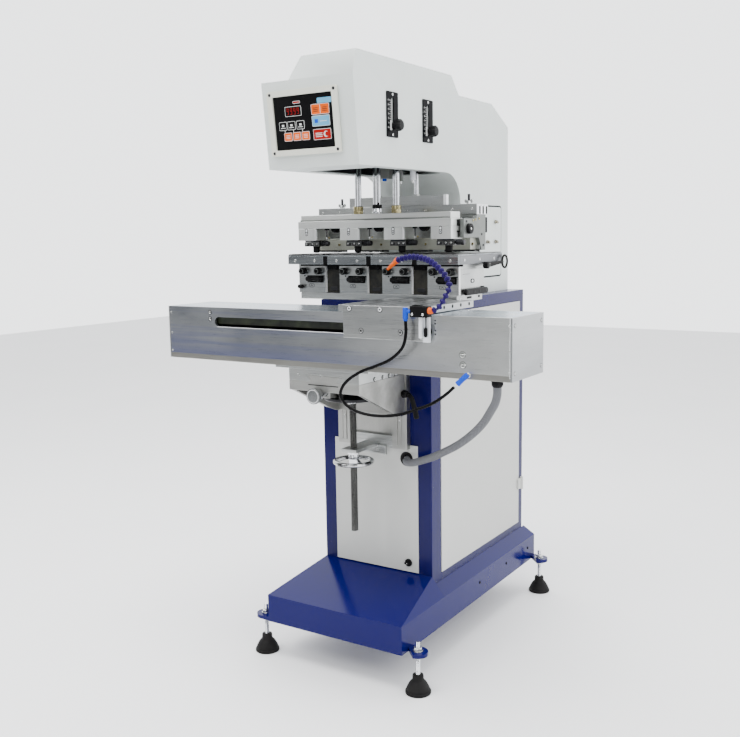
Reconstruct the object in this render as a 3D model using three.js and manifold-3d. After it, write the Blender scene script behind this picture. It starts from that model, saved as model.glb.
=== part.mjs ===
// Floor-standing four-station pad printing machine with a sliding shuttle.
// Units are millimetres. +Z is up, the operator stands on the -Y side, +X is the operator's right.
// Every size below is written from the machine's own centreline; the outer group then moves
// the whole machine so that the origin is under the middle of its overall box.

import * as THREE from 'three';
import { ConvexGeometry } from 'three/addons/geometries/ConvexGeometry.js';
import { mergeVertices } from 'three/addons/utils/BufferGeometryUtils.js';
import Module from 'manifold-3d';

const wasm = await Module();
wasm.setup();

// ---------------------------------------------------------------- driving dimensions

const GAP = 0.3; // between pieces that touch
const ORIGIN = { x: -12.5, y: -3.25, z: 0 }; // the machine's centreline in the exported frame

const BASE = { half: 219, front: -399, back: 475, bottom: 104, top: 182, wall: 6 };
const WEDGE_TOP = 233; // where the sloped front of the base meets the column
const LEDGE_TOP = 206; // where the side ledges meet the column
const LUG = { thick: 10, radius: 27, hole: 7 };
const FOOT = { x: 250, front: -370, rear: 446, radius: 34, top: 140 };

const COLUMN = { half: 180, front: -163, back: 459, top: 1001, wall: 3 };
const DOOR = { front: -108.3, back: 428.3, bottom: 230, top: 965, thick: 18, proud: 1.5 };
const DOOR_GAP = 0.7;
const HINGE = { x: 187, y: 440, radius: 5.5 };
const PANEL = { half: 138, bottom: 236, top: 602, thick: 3.7 };
const HOSE_HOLE = { x: 104, z: 563, radius: 17 };
const PANEL_LOCK = { x: 107, z: 263, radius: 8 };

const RAIL = { half: 114, inner: 66, front: -183, web: -172, bottom: 592, top: 985 };
const SCREW = { y: -278, radius: 10, bottom: 372, top: 745 };
const WHEEL = { z: 568, mean: 51, tube: 6, hub: 13 };
const SADDLE = { half: 111, front: -413, bottom: 690, shelf: 780, top: 806, cheek: 12, back: 12 };
const TONGUE = { narrow: 40, wide: 50, top: 822, clear: 0.6 };
const CROSS = { half: 111, plate: 146, front: -413, back: -222, plateBottom: 839, top: 846.7 };
const CROSS_KNOB = { x: -18, z: 771, radius: 21, front: -437, back: -415, shaft: 7, end: -325 };
const CLAMP = { y: -197, z: 752 };

const BEAM = { left: -516, right: 541, front: -438, back: -256, bottom: 847, top: 993, wall: 3 };
const SLOT = { left: -342, right: 335, bottom: 941, top: 967 };
const CYLINDER = { front: -345, back: -305, bottom: 890, top: 930 };
const CARRIAGE = { left: 90, right: 323, front: -449, back: -194, bottom: 931, top: 1012, table: 17 };
const NECK = { left: 150, right: 260, bottom: 943, top: 965 };
const VALVE = { left: 294, right: 341, front: -472, bottom: 990, top: 1016 };
const GLAND = { x: 495, y: -420 };
const BEAM_FITTING = { x: 430, y: -447, z: 857 };
const VALVE_FITTING = { x: 280, y: -467, bottom: 985, top: 1012, radius: 6.5 };

const PITCH = 145; // between print stations
const STATIONS = [-1.5, -0.5, 0.5, 1.5].map((n) => n * PITCH);
const BED = { half: 256, front: -156, back: -4, bottom: 1001.3, plate: 8, top: 1101.7 };
const BED_BLOCK = { pitch: 143, width: 94 };
const BED_CENTRES = [-1.5, -0.5, 0.5, 1.5].map((n) => n * BED_BLOCK.pitch);
const TRAY = { half: 276, front: -188, back: 85, bottom: 1102, top: 1128 };
const CLICHE = { width: 114, front: -186, back: 78, thick: 2 };

const HEAD = { half: 138, wall: 3, shoulder: 1563, top: 1620, throat: 97, underside: 1353 };
const HEAD_FRONT = { bottom: -436, shoulder: -459, top: -443 };
const CONTROL = { x: -12, z: 1461, width: 212, height: 158, thick: 8, screen: 3 };
const SCALE = { front: -283, rear: -99, bottom: 1426, top: 1538, width: 54, thick: 3, knob: 1455 };

const ROD = { y: -138, x: 62, guide: 9, piston: 11, nut: 14, nutTop: 1262, yoke: 1440 };
const BAR = { half: 248, front: -173, back: -108, bottom: 1169, top: 1223, cap: 1240, block: 60 };
const PAD = { half: 25.5, front: -150, back: -104, clampBottom: 1152, tip: 1133, radius: 10 };
const INK = { half: 262, front: -50, back: 20, bottom: 1233, top: 1262, blade: 1133, rodX: 63, rodY: -28 };
const CARRIER = { half: 90, front: -165, back: 10, bottom: 1380, top: 1420 };

// Centre lines of the two flexible lines and of the gooseneck, chosen along their real routes.
const AIR_HOSE = {
  radius: 3.8,
  points: [
    [280, -467, 984.6], [281, -468, 948], [272, -469, 917], [241, -471, 888], [202, -472, 870],
    [158, -473, 853], [121, -474, 831], [101, -474, 810], [95, -474, 790], [108, -474, 769],
    [138, -474, 754], [178, -473, 747], [222, -472, 748], [263, -470, 755], [303, -466, 769],
    [348, -458, 788], [380.8, -453.4, 811.4], [399.3, -451, 828.5],
  ],
};
const CONDUIT = {
  radius: 10,
  points: [
    [495, -420, 831.3], [495, -420, 816], [489, -417.5, 794], [473, -410, 770], [452, -398, 743],
    [425, -383, 717], [392, -365, 691], [352, -343, 664], [309, -320, 640], [265, -297, 617],
    [218, -272, 596], [173, -246, 578], [134, -214, 566], [112, -184, 563], [104, -155, 563],
  ],
};
const GOOSENECK = {
  radius: 6.5,
  points: [
    [342, -466, 1006], [353, -466, 1006.6], [365, -463, 1013], [374, -458, 1027], [380, -454, 1040],
    [386, -450, 1054], [384, -444, 1069], [372, -437, 1084], [354, -428, 1098], [334, -418, 1110],
    [314, -408, 1119], [288, -395, 1125], [253, -382, 1128], [222, -370, 1125], [196, -361, 1119],
  ],
  tip: [161, -350, 1096],
};

// ---------------------------------------------------------------- shapes

const AXIS = {
  x: new THREE.Vector3(1, 0, 0),
  y: new THREE.Vector3(0, 1, 0),
  z: new THREE.Vector3(0, 0, 1),
};

function box(x0, x1, y0, y1, z0, z1) {
  const geometry = new THREE.BoxGeometry(x1 - x0, y1 - y0, z1 - z0);
  return geometry.translate((x0 + x1) / 2, (y0 + y1) / 2, (z0 + z1) / 2);
}

function outline(points) {
  return new THREE.Shape(points.map(([u, v]) => new THREE.Vector2(u, v)));
}

function roundedOutline(u0, u1, v0, v1, radius) {
  const shape = new THREE.Shape();
  const quarter = Math.PI / 2;
  shape.moveTo(u0 + radius, v0);
  shape.lineTo(u1 - radius, v0);
  shape.absarc(u1 - radius, v0 + radius, radius, -quarter, 0, false);
  shape.lineTo(u1, v1 - radius);
  shape.absarc(u1 - radius, v1 - radius, radius, 0, quarter, false);
  shape.lineTo(u0 + radius, v1);
  shape.absarc(u0 + radius, v1 - radius, radius, quarter, 2 * quarter, false);
  shape.lineTo(u0, v0 + radius);
  shape.absarc(u0 + radius, v0 + radius, radius, 2 * quarter, 3 * quarter, false);
  return shape;
}

function extrude(shape, depth) {
  return new THREE.ExtrudeGeometry(shape, { depth, bevelEnabled: false, curveSegments: 6 });
}

// The outline is drawn in (Y, Z) and runs from x0 to x1.
function prismX(shape, x0, x1) {
  const turn = new THREE.Matrix4().makeBasis(AXIS.y, AXIS.z, AXIS.x);
  return extrude(shape, x1 - x0).applyMatrix4(turn).translate(x0, 0, 0);
}

// The outline is drawn in (X, Z) and runs from y0 to y1.
function prismY(shape, y0, y1) {
  const turn = new THREE.Matrix4().makeBasis(AXIS.x, AXIS.z, AXIS.y.clone().negate());
  return extrude(shape, y1 - y0).applyMatrix4(turn).translate(0, y1, 0);
}

// The outline is drawn in (X, Y) and runs from z0 to z1.
function prismZ(shape, z0, z1) {
  return extrude(shape, z1 - z0).translate(0, 0, z0);
}

// A round bar. The centre is (Y, Z) for an X bar, (X, Z) for a Y bar and (X, Y) for a Z bar.
function bar(axis, radius, from, to, [u, v], sides = 24) {
  const geometry = new THREE.CylinderGeometry(radius, radius, to - from, sides);
  const middle = (from + to) / 2;
  if (axis === 'x') return geometry.rotateZ(-Math.PI / 2).translate(middle, u, v);
  if (axis === 'y') return geometry.translate(u, middle, v);
  return geometry.rotateX(Math.PI / 2).translate(u, v, middle);
}

// A turned piece on a vertical axis. The profile is a list of (radius, height).
function turnedZ(profile, [x, y], sides = 24) {
  const points = profile.map(([radius, height]) => new THREE.Vector2(radius, height));
  return new THREE.LatheGeometry(points, sides).rotateX(Math.PI / 2).translate(x, y, 0);
}

function ring(mean, tube, sides = 28) {
  const profile = [];
  const steps = 8;
  for (let i = 0; i <= steps; i += 1) {
    const angle = -(2 * Math.PI * i) / steps;
    profile.push(new THREE.Vector2(mean + tube * Math.cos(angle), -tube * Math.sin(angle)));
  }
  return new THREE.LatheGeometry(profile, sides);
}

function circle(radius, sides) {
  const shape = new THREE.Shape();
  for (let i = 0; i < sides; i += 1) {
    const angle = (2 * Math.PI * i) / sides;
    const point = [radius * Math.cos(angle), radius * Math.sin(angle)];
    if (i === 0) shape.moveTo(...point);
    else shape.lineTo(...point);
  }
  return shape;
}

function tube(points, radius, steps, sides = 8) {
  const path = new THREE.CatmullRomCurve3(points.map((p) => new THREE.Vector3(...p)));
  return new THREE.ExtrudeGeometry(circle(radius, sides), { steps, extrudePath: path });
}

// A straight bar of one or two radii between two points in space.
function strut(from, to, radiusFrom, radiusTo, sides = 12) {
  const start = new THREE.Vector3(...from);
  const span = new THREE.Vector3(...to).sub(start);
  const geometry = new THREE.CylinderGeometry(radiusTo, radiusFrom, span.length(), sides);
  const turn = new THREE.Quaternion().setFromUnitVectors(AXIS.y, span.clone().normalize());
  const middle = start.addScaledVector(span, 0.5);
  return geometry.applyQuaternion(turn).translate(middle.x, middle.y, middle.z);
}

// ---------------------------------------------------------------- joining and cutting

function toSolid(part) {
  if (!part.isBufferGeometry) return part;
  const bare = part.clone();
  bare.deleteAttribute('normal');
  bare.deleteAttribute('uv');
  const merged = mergeVertices(bare, 1e-3);
  return new wasm.Manifold(new wasm.Mesh({
    numProp: 3,
    vertProperties: merged.attributes.position.array,
    triVerts: Uint32Array.from(merged.index.array),
  }));
}

function join(...parts) {
  return parts.map(toSolid).reduce((whole, part) => whole.add(part));
}

function cut(body, ...tools) {
  return tools.map(toSolid).reduce((left, tool) => left.subtract(tool), toSolid(body));
}

function toGeometry(part) {
  if (part.isBufferGeometry) return part;
  const { vertProperties, triVerts } = part.getMesh();
  const geometry = new THREE.BufferGeometry();
  geometry.setAttribute('position', new THREE.BufferAttribute(vertProperties, 3));
  geometry.setIndex(Array.from(triVerts));
  geometry.computeVertexNormals();
  return geometry;
}

// Moves every point of a closed outline inwards by a wall thickness (counter-clockwise outline).
function inset(points, wall) {
  const count = points.length;
  const lines = points.map((from, i) => {
    const to = points[(i + 1) % count];
    const length = Math.hypot(to[0] - from[0], to[1] - from[1]);
    const along = [(to[0] - from[0]) / length, (to[1] - from[1]) / length];
    const origin = [from[0] - along[1] * wall, from[1] + along[0] * wall];
    return { origin, along };
  });
  return lines.map((line, i) => {
    const before = lines[(i + count - 1) % count];
    const cross = before.along[0] * line.along[1] - before.along[1] * line.along[0];
    const du = line.origin[0] - before.origin[0];
    const dv = line.origin[1] - before.origin[1];
    const reach = (du * line.along[1] - dv * line.along[0]) / cross;
    return [before.origin[0] + before.along[0] * reach, before.origin[1] + before.along[1] * reach];
  });
}

// ---------------------------------------------------------------- materials

function material(color, roughness, metalness) {
  return new THREE.MeshStandardMaterial({ color, roughness, metalness });
}

const MATERIALS = {
  bluePaint: material(0x1f2f8f, 0.3, 0.1),
  greyPaint: material(0xd8dcd8, 0.5, 0.0),
  whitePaint: material(0xe6e8e2, 0.5, 0.0),
  aluminium: material(0xb9bcc0, 0.35, 0.9),
  steel: material(0x9a9c9e, 0.35, 1.0),
  chrome: material(0xdadde0, 0.12, 1.0),
  blackPlastic: material(0x141414, 0.45, 0.0),
  rubber: material(0x0c0c0c, 0.8, 0.0),
  blueFitting: material(0x2450c8, 0.35, 0.0),
  purplePlastic: material(0x3b1f8c, 0.4, 0.0),
  greyBraid: material(0x7f8388, 0.7, 0.2),
  hose: material(0x0a0a0c, 0.25, 0.0),
};

// ---------------------------------------------------------------- base, column and doors

function lugOutline(side, y) {
  const shape = new THREE.Shape();
  const inner = side * (BASE.half - 20);
  const start = (-side * Math.PI) / 2;
  shape.moveTo(inner, y - side * LUG.radius);
  shape.absarc(side * FOOT.x, y, LUG.radius, start, start + Math.PI, false);
  shape.lineTo(inner, y + side * LUG.radius);
  shape.closePath();
  return shape;
}

function footPlaces() {
  const places = [];
  for (const [end, y] of [['front', FOOT.front], ['rear', FOOT.rear]]) {
    for (const [side, sign] of [['left', -1], ['right', 1]]) places.push({ end, side, sign, y });
  }
  return places;
}

function baseFrame() {
  const { half, front, back, bottom, top, wall } = BASE;
  const columnFace = COLUMN.front - GAP;
  const inside = top - 2;
  const wedgePoints = [];
  for (const sign of [-1, 1]) {
    wedgePoints.push(new THREE.Vector3(sign * half, front, inside));
    wedgePoints.push(new THREE.Vector3(sign * half, front, top));
    wedgePoints.push(new THREE.Vector3(sign * half, columnFace, inside));
    wedgePoints.push(new THREE.Vector3(sign * half, columnFace, top));
    wedgePoints.push(new THREE.Vector3(sign * COLUMN.half, columnFace, WEDGE_TOP));
  }
  const tub = box(-half, half, front, back, bottom, top);
  const hollow = box(
    -half + wall, half - wall, front + wall, back - wall, bottom - 1, top - wall,
  );
  const ledges = [-1, 1].map((sign) => {
    const near = sign * (COLUMN.half + GAP);
    const points = [[near, inside], [sign * half, inside], [sign * half, top], [near, LEDGE_TOP]];
    return prismY(outline(points), COLUMN.front - 1, back);
  });
  const lugs = footPlaces().map(({ sign, y }) => prismZ(lugOutline(sign, y), bottom, bottom + LUG.thick));
  const holes = footPlaces().map(({ sign, y }) => {
    return bar('z', LUG.hole, bottom - 1, bottom + LUG.thick + 1, [sign * FOOT.x, y]);
  });
  const shell = cut(join(tub, new ConvexGeometry(wedgePoints), ...ledges), hollow);
  return cut(join(shell, ...lugs), ...holes);
}

function levellingFoot(x, y) {
  const { radius, top } = FOOT;
  const under = BASE.bottom - GAP;
  const over = BASE.bottom + LUG.thick + GAP;
  return turnedZ([
    [0, 0], [radius, 0], [radius, 7], [31, 15], [22, 29], [15, 37], [14, 52], [6, 56],
    [6, under - 10], [11, under - 10], [11, under], [6, under], [6, over], [11, over],
    [11, over + 10], [6, over + 10], [6, top], [0, top],
  ], [x, y], 18);
}

function columnShell() {
  const { half, front, back, top, wall } = COLUMN;
  const bottom = BASE.top + GAP;
  return cut(
    box(-half, half, front, back, bottom, top),
    box(-half + wall, half - wall, front + wall, back - wall, bottom + wall, top - wall),
    box(
      half - 10, half + 10, DOOR.front - DOOR_GAP, DOOR.back + DOOR_GAP,
      DOOR.bottom - DOOR_GAP, DOOR.top + DOOR_GAP,
    ),
    box(-125, 125, front - 10, front + 10, PANEL.bottom + 14, PANEL.top - 14),
    box(-60, 60, 150, 380, top - 10, top + 10),
  );
}

function frontPanel() {
  const back = COLUMN.front - GAP;
  const front = back - PANEL.thick;
  return cut(
    box(-PANEL.half, PANEL.half, front, back, PANEL.bottom, PANEL.top),
    bar('y', HOSE_HOLE.radius, front - 1, back + 1, [HOSE_HOLE.x, HOSE_HOLE.z]),
    bar('y', PANEL_LOCK.radius + GAP, front - 1, back + 1, [PANEL_LOCK.x, PANEL_LOCK.z]),
  );
}

function panelLock() {
  const { x, z, radius } = PANEL_LOCK;
  const face = COLUMN.front - GAP - PANEL.thick - GAP;
  return join(
    bar('y', radius, face - 1, COLUMN.front + 8, [x, z]),
    bar('y', 11, face - 5, face, [x, z]),
    box(x - 9, x + 9, face - 12, face - 4, z - 2.5, z + 2.5),
  );
}

function doorRight() {
  const outer = COLUMN.half + DOOR.proud;
  const pan = cut(
    box(outer - DOOR.thick, outer, DOOR.front, DOOR.back, DOOR.bottom, DOOR.top),
    box(
      outer - DOOR.thick - 1, outer - 2, DOOR.front + 2, DOOR.back - 2,
      DOOR.bottom + 2, DOOR.top - 2,
    ),
  );
  const hinges = [342, 820].flatMap((z) => [
    box(outer - 1, HINGE.x, DOOR.back - 14, HINGE.y, z + 4, z + 37),
    bar('z', HINGE.radius, z, z + 41, [HINGE.x, HINGE.y], 16),
  ]);
  return join(pan, ...hinges);
}

// ---------------------------------------------------------------- height adjustment

function guideRails() {
  const { half, inner, front, web, bottom, top } = RAIL;
  const back = COLUMN.front - GAP;
  const clearOfPanel = back - PANEL.thick - GAP;
  const rails = prismZ(outline([
    [-half, front], [-inner, front], [-inner, web], [inner, web],
    [inner, front], [half, front], [half, back], [-half, back],
  ]), PANEL.top + 2, top);
  const feet = [-1, 1].map((sign) => {
    const [x0, x1] = [sign * inner, sign * half].sort((a, b) => a - b);
    return box(x0, x1, front, clearOfPanel, bottom, PANEL.top + 3);
  });
  const crossBar = box(-inner - 1, inner + 1, front, clearOfPanel, bottom, bottom + 36);
  return join(rails, ...feet, crossBar);
}

function nutBracket() {
  const back = RAIL.front - GAP;
  return cut(
    join(
      box(-24, 24, -302, back, 596, 606),
      box(-22, 50, back - 9, back, 574, 600),
    ),
    bar('z', SCREW.radius + 0.6, 590, 610, [0, SCREW.y]),
  );
}

function handwheel() {
  const { z, mean, tube: thickness, hub } = WHEEL;
  const centre = [0, SCREW.y];
  const rim = ring(mean, thickness).rotateX(Math.PI / 2).translate(0, SCREW.y, z);
  const spokes = [90, 210, 330].map((degrees) => {
    const angle = THREE.MathUtils.degToRad(degrees);
    const [dx, dy] = [Math.cos(angle), Math.sin(angle)];
    return strut([dx * 11, SCREW.y + dy * 11, z + 9], [dx * mean, SCREW.y + dy * mean, z], 4.5, 4, 8);
  });
  const boss = join(
    bar('z', hub, z - 7, z + 19, centre),
    bar('z', 16, z + 14, 596 - GAP, centre),
  );
  const bore = bar('z', SCREW.radius + 0.4, z - 20, z + 40, centre);
  return cut(join(rim, boss, ...spokes), bore);
}

function leadscrew() {
  const { y, radius, bottom, top } = SCREW;
  const underside = SADDLE.shelf - GAP;
  return join(
    box(-40, 40, y - 40, y + 40, underside - 11.7, underside),
    bar('z', 24, top + 6, underside - 11, [0, y]),
    bar('z', 79, top - 1, top + 7.5, [0, y], 36),
    bar('z', radius, bottom, top + 2, [0, y]),
  );
}

function saddleBracket() {
  const { half, front, bottom, shelf, top, cheek, back } = SADDLE;
  const rear = RAIL.front - GAP;
  const side = outline([
    [front + 9, shelf + 1], [front + 9, shelf - 2], [-249, 706], [-205, bottom],
    [rear, bottom], [rear, shelf + 1],
  ]);
  const tongue = outline([
    [-TONGUE.narrow, top - 1], [TONGUE.narrow, top - 1],
    [TONGUE.wide, TONGUE.top], [-TONGUE.wide, TONGUE.top],
  ]);
  const body = join(
    box(-half, half, front, rear, shelf, top),
    prismX(side, half - cheek, half),
    prismX(side, -half, -half + cheek),
    box(-half, half, rear - back, rear, bottom, shelf + 1),
    box(-RAIL.inner + 0.5, RAIL.inner - 0.5, rear - 1, RAIL.web - 0.5, bottom + 22, top - 6),
    prismY(tongue, front, rear - 6),
    box(CROSS_KNOB.x - 15, CROSS_KNOB.x + 15, -380, -352, CROSS_KNOB.z - 13, shelf + 1),
  );
  return cut(body, bar('y', CROSS_KNOB.shaft + 0.5, -390, -340, [CROSS_KNOB.x, CROSS_KNOB.z]));
}

function clampLever() {
  const start = SADDLE.half + GAP;
  const { y, z } = CLAMP;
  return join(
    bar('x', 10, start, start + 15, [y, z], 16),
    strut([start + 10, y, z], [139, y, z - 8], 7, 6),
    strut([138, y, z - 5], [151, y + 2, z - 60], 6.5, 7.5),
  );
}

// ---------------------------------------------------------------- cross slide and shuttle

function crossSlide() {
  const { half, plate, front, back, plateBottom, top } = CROSS;
  const { narrow, wide, top: tongueTop, clear } = TONGUE;
  const low = SADDLE.top + GAP;
  const way = outline([
    [-narrow - clear, low - 1], [narrow + clear, low - 1],
    [wide + clear, tongueTop + clear], [-wide - clear, tongueTop + clear],
  ]);
  const body = join(
    box(-half, half, front, back, low, plateBottom + 1),
    box(-plate, plate, front - 12, back + 7, plateBottom, top),
  );
  return cut(body, prismY(way, front - 1, back + 1));
}

function crossKnob() {
  const { x, z, radius, front, back, shaft, end } = CROSS_KNOB;
  return join(
    bar('y', radius, front, back, [x, z], 28),
    bar('y', shaft, back - 1, end, [x, z]),
  );
}

function beamHousing() {
  const { left, right, front, back, bottom, top, wall } = BEAM;
  const reach = (SLOT.top - SLOT.bottom) / 2 - 0.1;
  const slot = roundedOutline(SLOT.left, SLOT.right, SLOT.bottom, SLOT.top, reach);
  return cut(
    box(left, right, front, back, bottom, top),
    box(left + wall, right - wall, front + wall, back - wall, bottom + wall, top - wall),
    prismY(slot, front - 5, front + 10),
  );
}

function rodlessCylinder() {
  const { left, right, wall } = BEAM;
  const { front, back, bottom, top } = CYLINDER;
  const shape = roundedOutline(front, back, bottom, top, 4);
  return prismX(shape, left + wall + GAP, right - wall - GAP);
}

function carriage() {
  const { left, right, front, back, bottom, top, table } = CARRIAGE;
  const inner = BEAM.front - 1.5;
  return join(
    box(left, right, front, inner, bottom, top),
    box(left - 20, right, front, back, top - table, top),
    box(NECK.left, NECK.right, inner - 1, CYLINDER.back + 5, NECK.bottom, NECK.top),
    box(NECK.left - 10, NECK.right + 10, CYLINDER.front - 5, CYLINDER.back + 5, CYLINDER.top + 1, NECK.top),
  );
}

function blowValve() {
  const back = CARRIAGE.front - GAP;
  const { left, right, front, bottom, top } = VALVE;
  const { x, y, radius } = VALVE_FITTING;
  return join(
    box(left, right, front, back, bottom, top),
    bar('z', radius, VALVE_FITTING.bottom, VALVE_FITTING.top, [x, y], 16),
    bar('x', 4.5, x, left + 1, [y, 1003], 12),
    box(left + 26, right - 3, back - 5, back, 930, bottom + 1),
    bar('z', 5, 936, bottom + 1, [left + 33, back - 12], 14),
    box(left + 31, left + 35, back - 12, back - 4, 940, 950),
  );
}

function gooseneck() {
  const { points, radius, tip } = GOOSENECK;
  return join(tube(points, radius, 34, 8), strut(points.at(-1), tip, 7.5, 3, 12));
}

function conduitGland() {
  const under = BEAM.bottom - GAP;
  return turnedZ([
    [0, under - 14.8], [11, under - 14.8], [12.5, under - 11], [15, under - 8], [15, under], [0, under],
  ], [GLAND.x, GLAND.y], 16);
}

function hoseFitting() {
  const { x, y, z } = BEAM_FITTING;
  const mouth = AIR_HOSE.points.at(-1);
  const toward = new THREE.Vector3(mouth[0] - x, mouth[1] - y, mouth[2] - z);
  const reach = 1 - 0.4 / toward.length();
  const end = [x + toward.x * reach, y + toward.y * reach, z + toward.z * reach];
  return join(
    bar('y', 5, y, BEAM.front - GAP, [x, z], 14),
    strut([x, y, z], end, 6.5, 6, 14),
  );
}

// ---------------------------------------------------------------- printing bed and plates

function registerPlaces(centre) {
  return [centre - 27, centre + 27];
}

function printingBed() {
  const { half, front, back, bottom, plate, top } = BED;
  const deck = bottom + plate;
  const blocks = BED_CENTRES.map((x) => {
    return box(x - BED_BLOCK.width / 2, x + BED_BLOCK.width / 2, front, back, deck - 1, top);
  });
  const core = box(-half, half, front + 10, back, deck - 1, top);
  const sill = box(-half, half, front, front + 20, deck - 1, deck + 10);
  const pockets = BED_CENTRES.map((x) => box(x - 18, x + 40, front - 1, front + 3, 1049, 1069));
  return cut(join(box(-half, half, front, back, bottom, deck), core, sill, ...blocks), ...pockets);
}

function registerScrew(x) {
  return bar('y', 10, BED.front - GAP - 18, BED.front - GAP, [x, 1082], 20);
}

function registerRoller(centre) {
  return bar('x', 8, centre - 16, centre + 38, [BED.front - 6.5, 1059], 20);
}

function plateTray() {
  const { half, front, back, bottom, top } = TRAY;
  const notches = [-1, 0, 1].map((n) => {
    return box(n * PITCH - 7.5, n * PITCH + 7.5, front - 1, front + 12, bottom - 1, top - 4);
  });
  return cut(box(-half, half, front, back, bottom, top), ...notches);
}

function clichePlate(x) {
  const { width, front, back, thick } = CLICHE;
  const low = TRAY.top + GAP;
  return box(x - width / 2, x + width / 2, front, back, low, low + thick);
}

function plateLockLever() {
  const face = TRAY.half + GAP;
  const x = face + 8;
  const eye = ring(17, 3, 20).rotateZ(-Math.PI / 2).translate(x, 83, 1103);
  return join(
    bar('x', 9, face, face + 14, [-33, 1096], 16),
    strut([x, -33, 1096], [x, 67, 1102], 5, 4.5),
    eye,
  );
}

function bedLever() {
  const face = BED_CENTRES[3] + BED_BLOCK.width / 2 + GAP;
  const grip = roundedOutline(-138, -5, 1019, 1036, 8);
  return join(bar('x', 11, face, face + 6, [-16, 1028], 16), prismX(grip, face + 4, face + 14));
}

// ---------------------------------------------------------------- head

function headProfile() {
  const corner = 85;
  const { throat, underside, shoulder, top } = HEAD;
  const profile = [[HEAD_FRONT.bottom, underside - 2]];
  const bend = 6;
  for (let i = 0; i <= bend; i += 1) {
    const angle = (Math.PI / 2) * (1 - i / bend);
    const y = throat - corner + corner * Math.cos(angle);
    profile.push([y, underside - corner + corner * Math.sin(angle)]);
  }
  profile.push([throat, COLUMN.top + GAP], [430, COLUMN.top + GAP], [426, 1511], [304, 1571]);
  profile.push([88, 1571], [42, top + 1], [HEAD_FRONT.top, top], [HEAD_FRONT.shoulder, shoulder]);
  return profile;
}

function shoulderCut(wall) {
  const { half, shoulder, top } = HEAD;
  const floor = shoulder + 0.5 - wall;
  const shape = outline([
    [-half - 5, floor], [-53 + wall, floor], [-22 + wall, top + 3], [-half - 5, top + 3],
  ]);
  return prismY(shape, -480, 87 - wall);
}

function headShell() {
  const { half, wall, underside } = HEAD;
  const profile = headProfile();
  const outer = cut(prismX(outline(profile), -half, half), shoulderCut(0));
  const room = prismX(outline(inset(profile, wall)), -half + wall, half - wall);
  const cavity = cut(room, shoulderCut(wall));
  const mouth = box(-104, 104, -312, 30, underside - 20, underside + 20);
  const floorless = box(-half + wall, half - wall, HEAD.throat + wall, 427, COLUMN.top - 5, COLUMN.top + 8);
  const slots = [SCALE.front, SCALE.rear].map((y) => {
    const shape = roundedOutline(y - 5, y + 5, SCALE.knob - 12, SCALE.top - 14, 4.5);
    return prismX(shape, half - wall - 5, half + 5);
  });
  return cut(outer, cavity, mouth, floorless, ...slots);
}

function controlPanel() {
  const { width, height, thick, screen } = CONTROL;
  const frame = roundedOutline(-width / 2, width / 2, -height / 2, height / 2, 6);
  const pocket = roundedOutline(-width / 2 + 16, width / 2 - 16, -height / 2 + 14, height / 2 - 14, 3);
  return cut(prismY(frame, -thick, 0), prismY(pocket, -thick - 1, -thick + screen));
}

// The control panel's back lies on the leaning front face of the head.
function placeControlPanel(mesh) {
  const rise = HEAD.shoulder - HEAD.underside + 2;
  const lean = HEAD_FRONT.shoulder - HEAD_FRONT.bottom;
  const angle = Math.atan2(-lean, rise);
  const share = (CONTROL.z - HEAD.underside + 2) / rise;
  const face = HEAD_FRONT.bottom + lean * share;
  mesh.position.set(CONTROL.x, face - 2 * GAP, CONTROL.z);
  mesh.rotation.x = angle;
}

function strokeScale(y) {
  const face = HEAD.half + GAP;
  const { bottom, top, width, thick, knob } = SCALE;
  return cut(
    prismX(roundedOutline(y - width / 2, y + width / 2, bottom, top, 3), face, face + thick),
    prismX(roundedOutline(y - 5, y + 5, knob - 12, top - 14, 4.5), face - 1, face + thick + 1),
  );
}

function strokeKnob(y) {
  const face = HEAD.half + GAP + SCALE.thick + GAP;
  return join(
    bar('x', 4, HEAD.half - HEAD.wall - 8, face + 2, [y, SCALE.knob], 14),
    bar('x', 8, face, face + 8, [y, SCALE.knob], 18),
    bar('x', 15, face + 7, face + 26, [y, SCALE.knob], 24),
  );
}

function sideCover() {
  const face = HEAD.half + GAP;
  const bosses = [[330, 1217], [330, 1156], [270, 1156]].map((at) => bar('x', 5, face + 1, face + 9, at, 12));
  return join(prismX(roundedOutline(220, 372, 1052, 1262, 8), face, face + 2), ...bosses);
}

// ---------------------------------------------------------------- print mechanism

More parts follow.
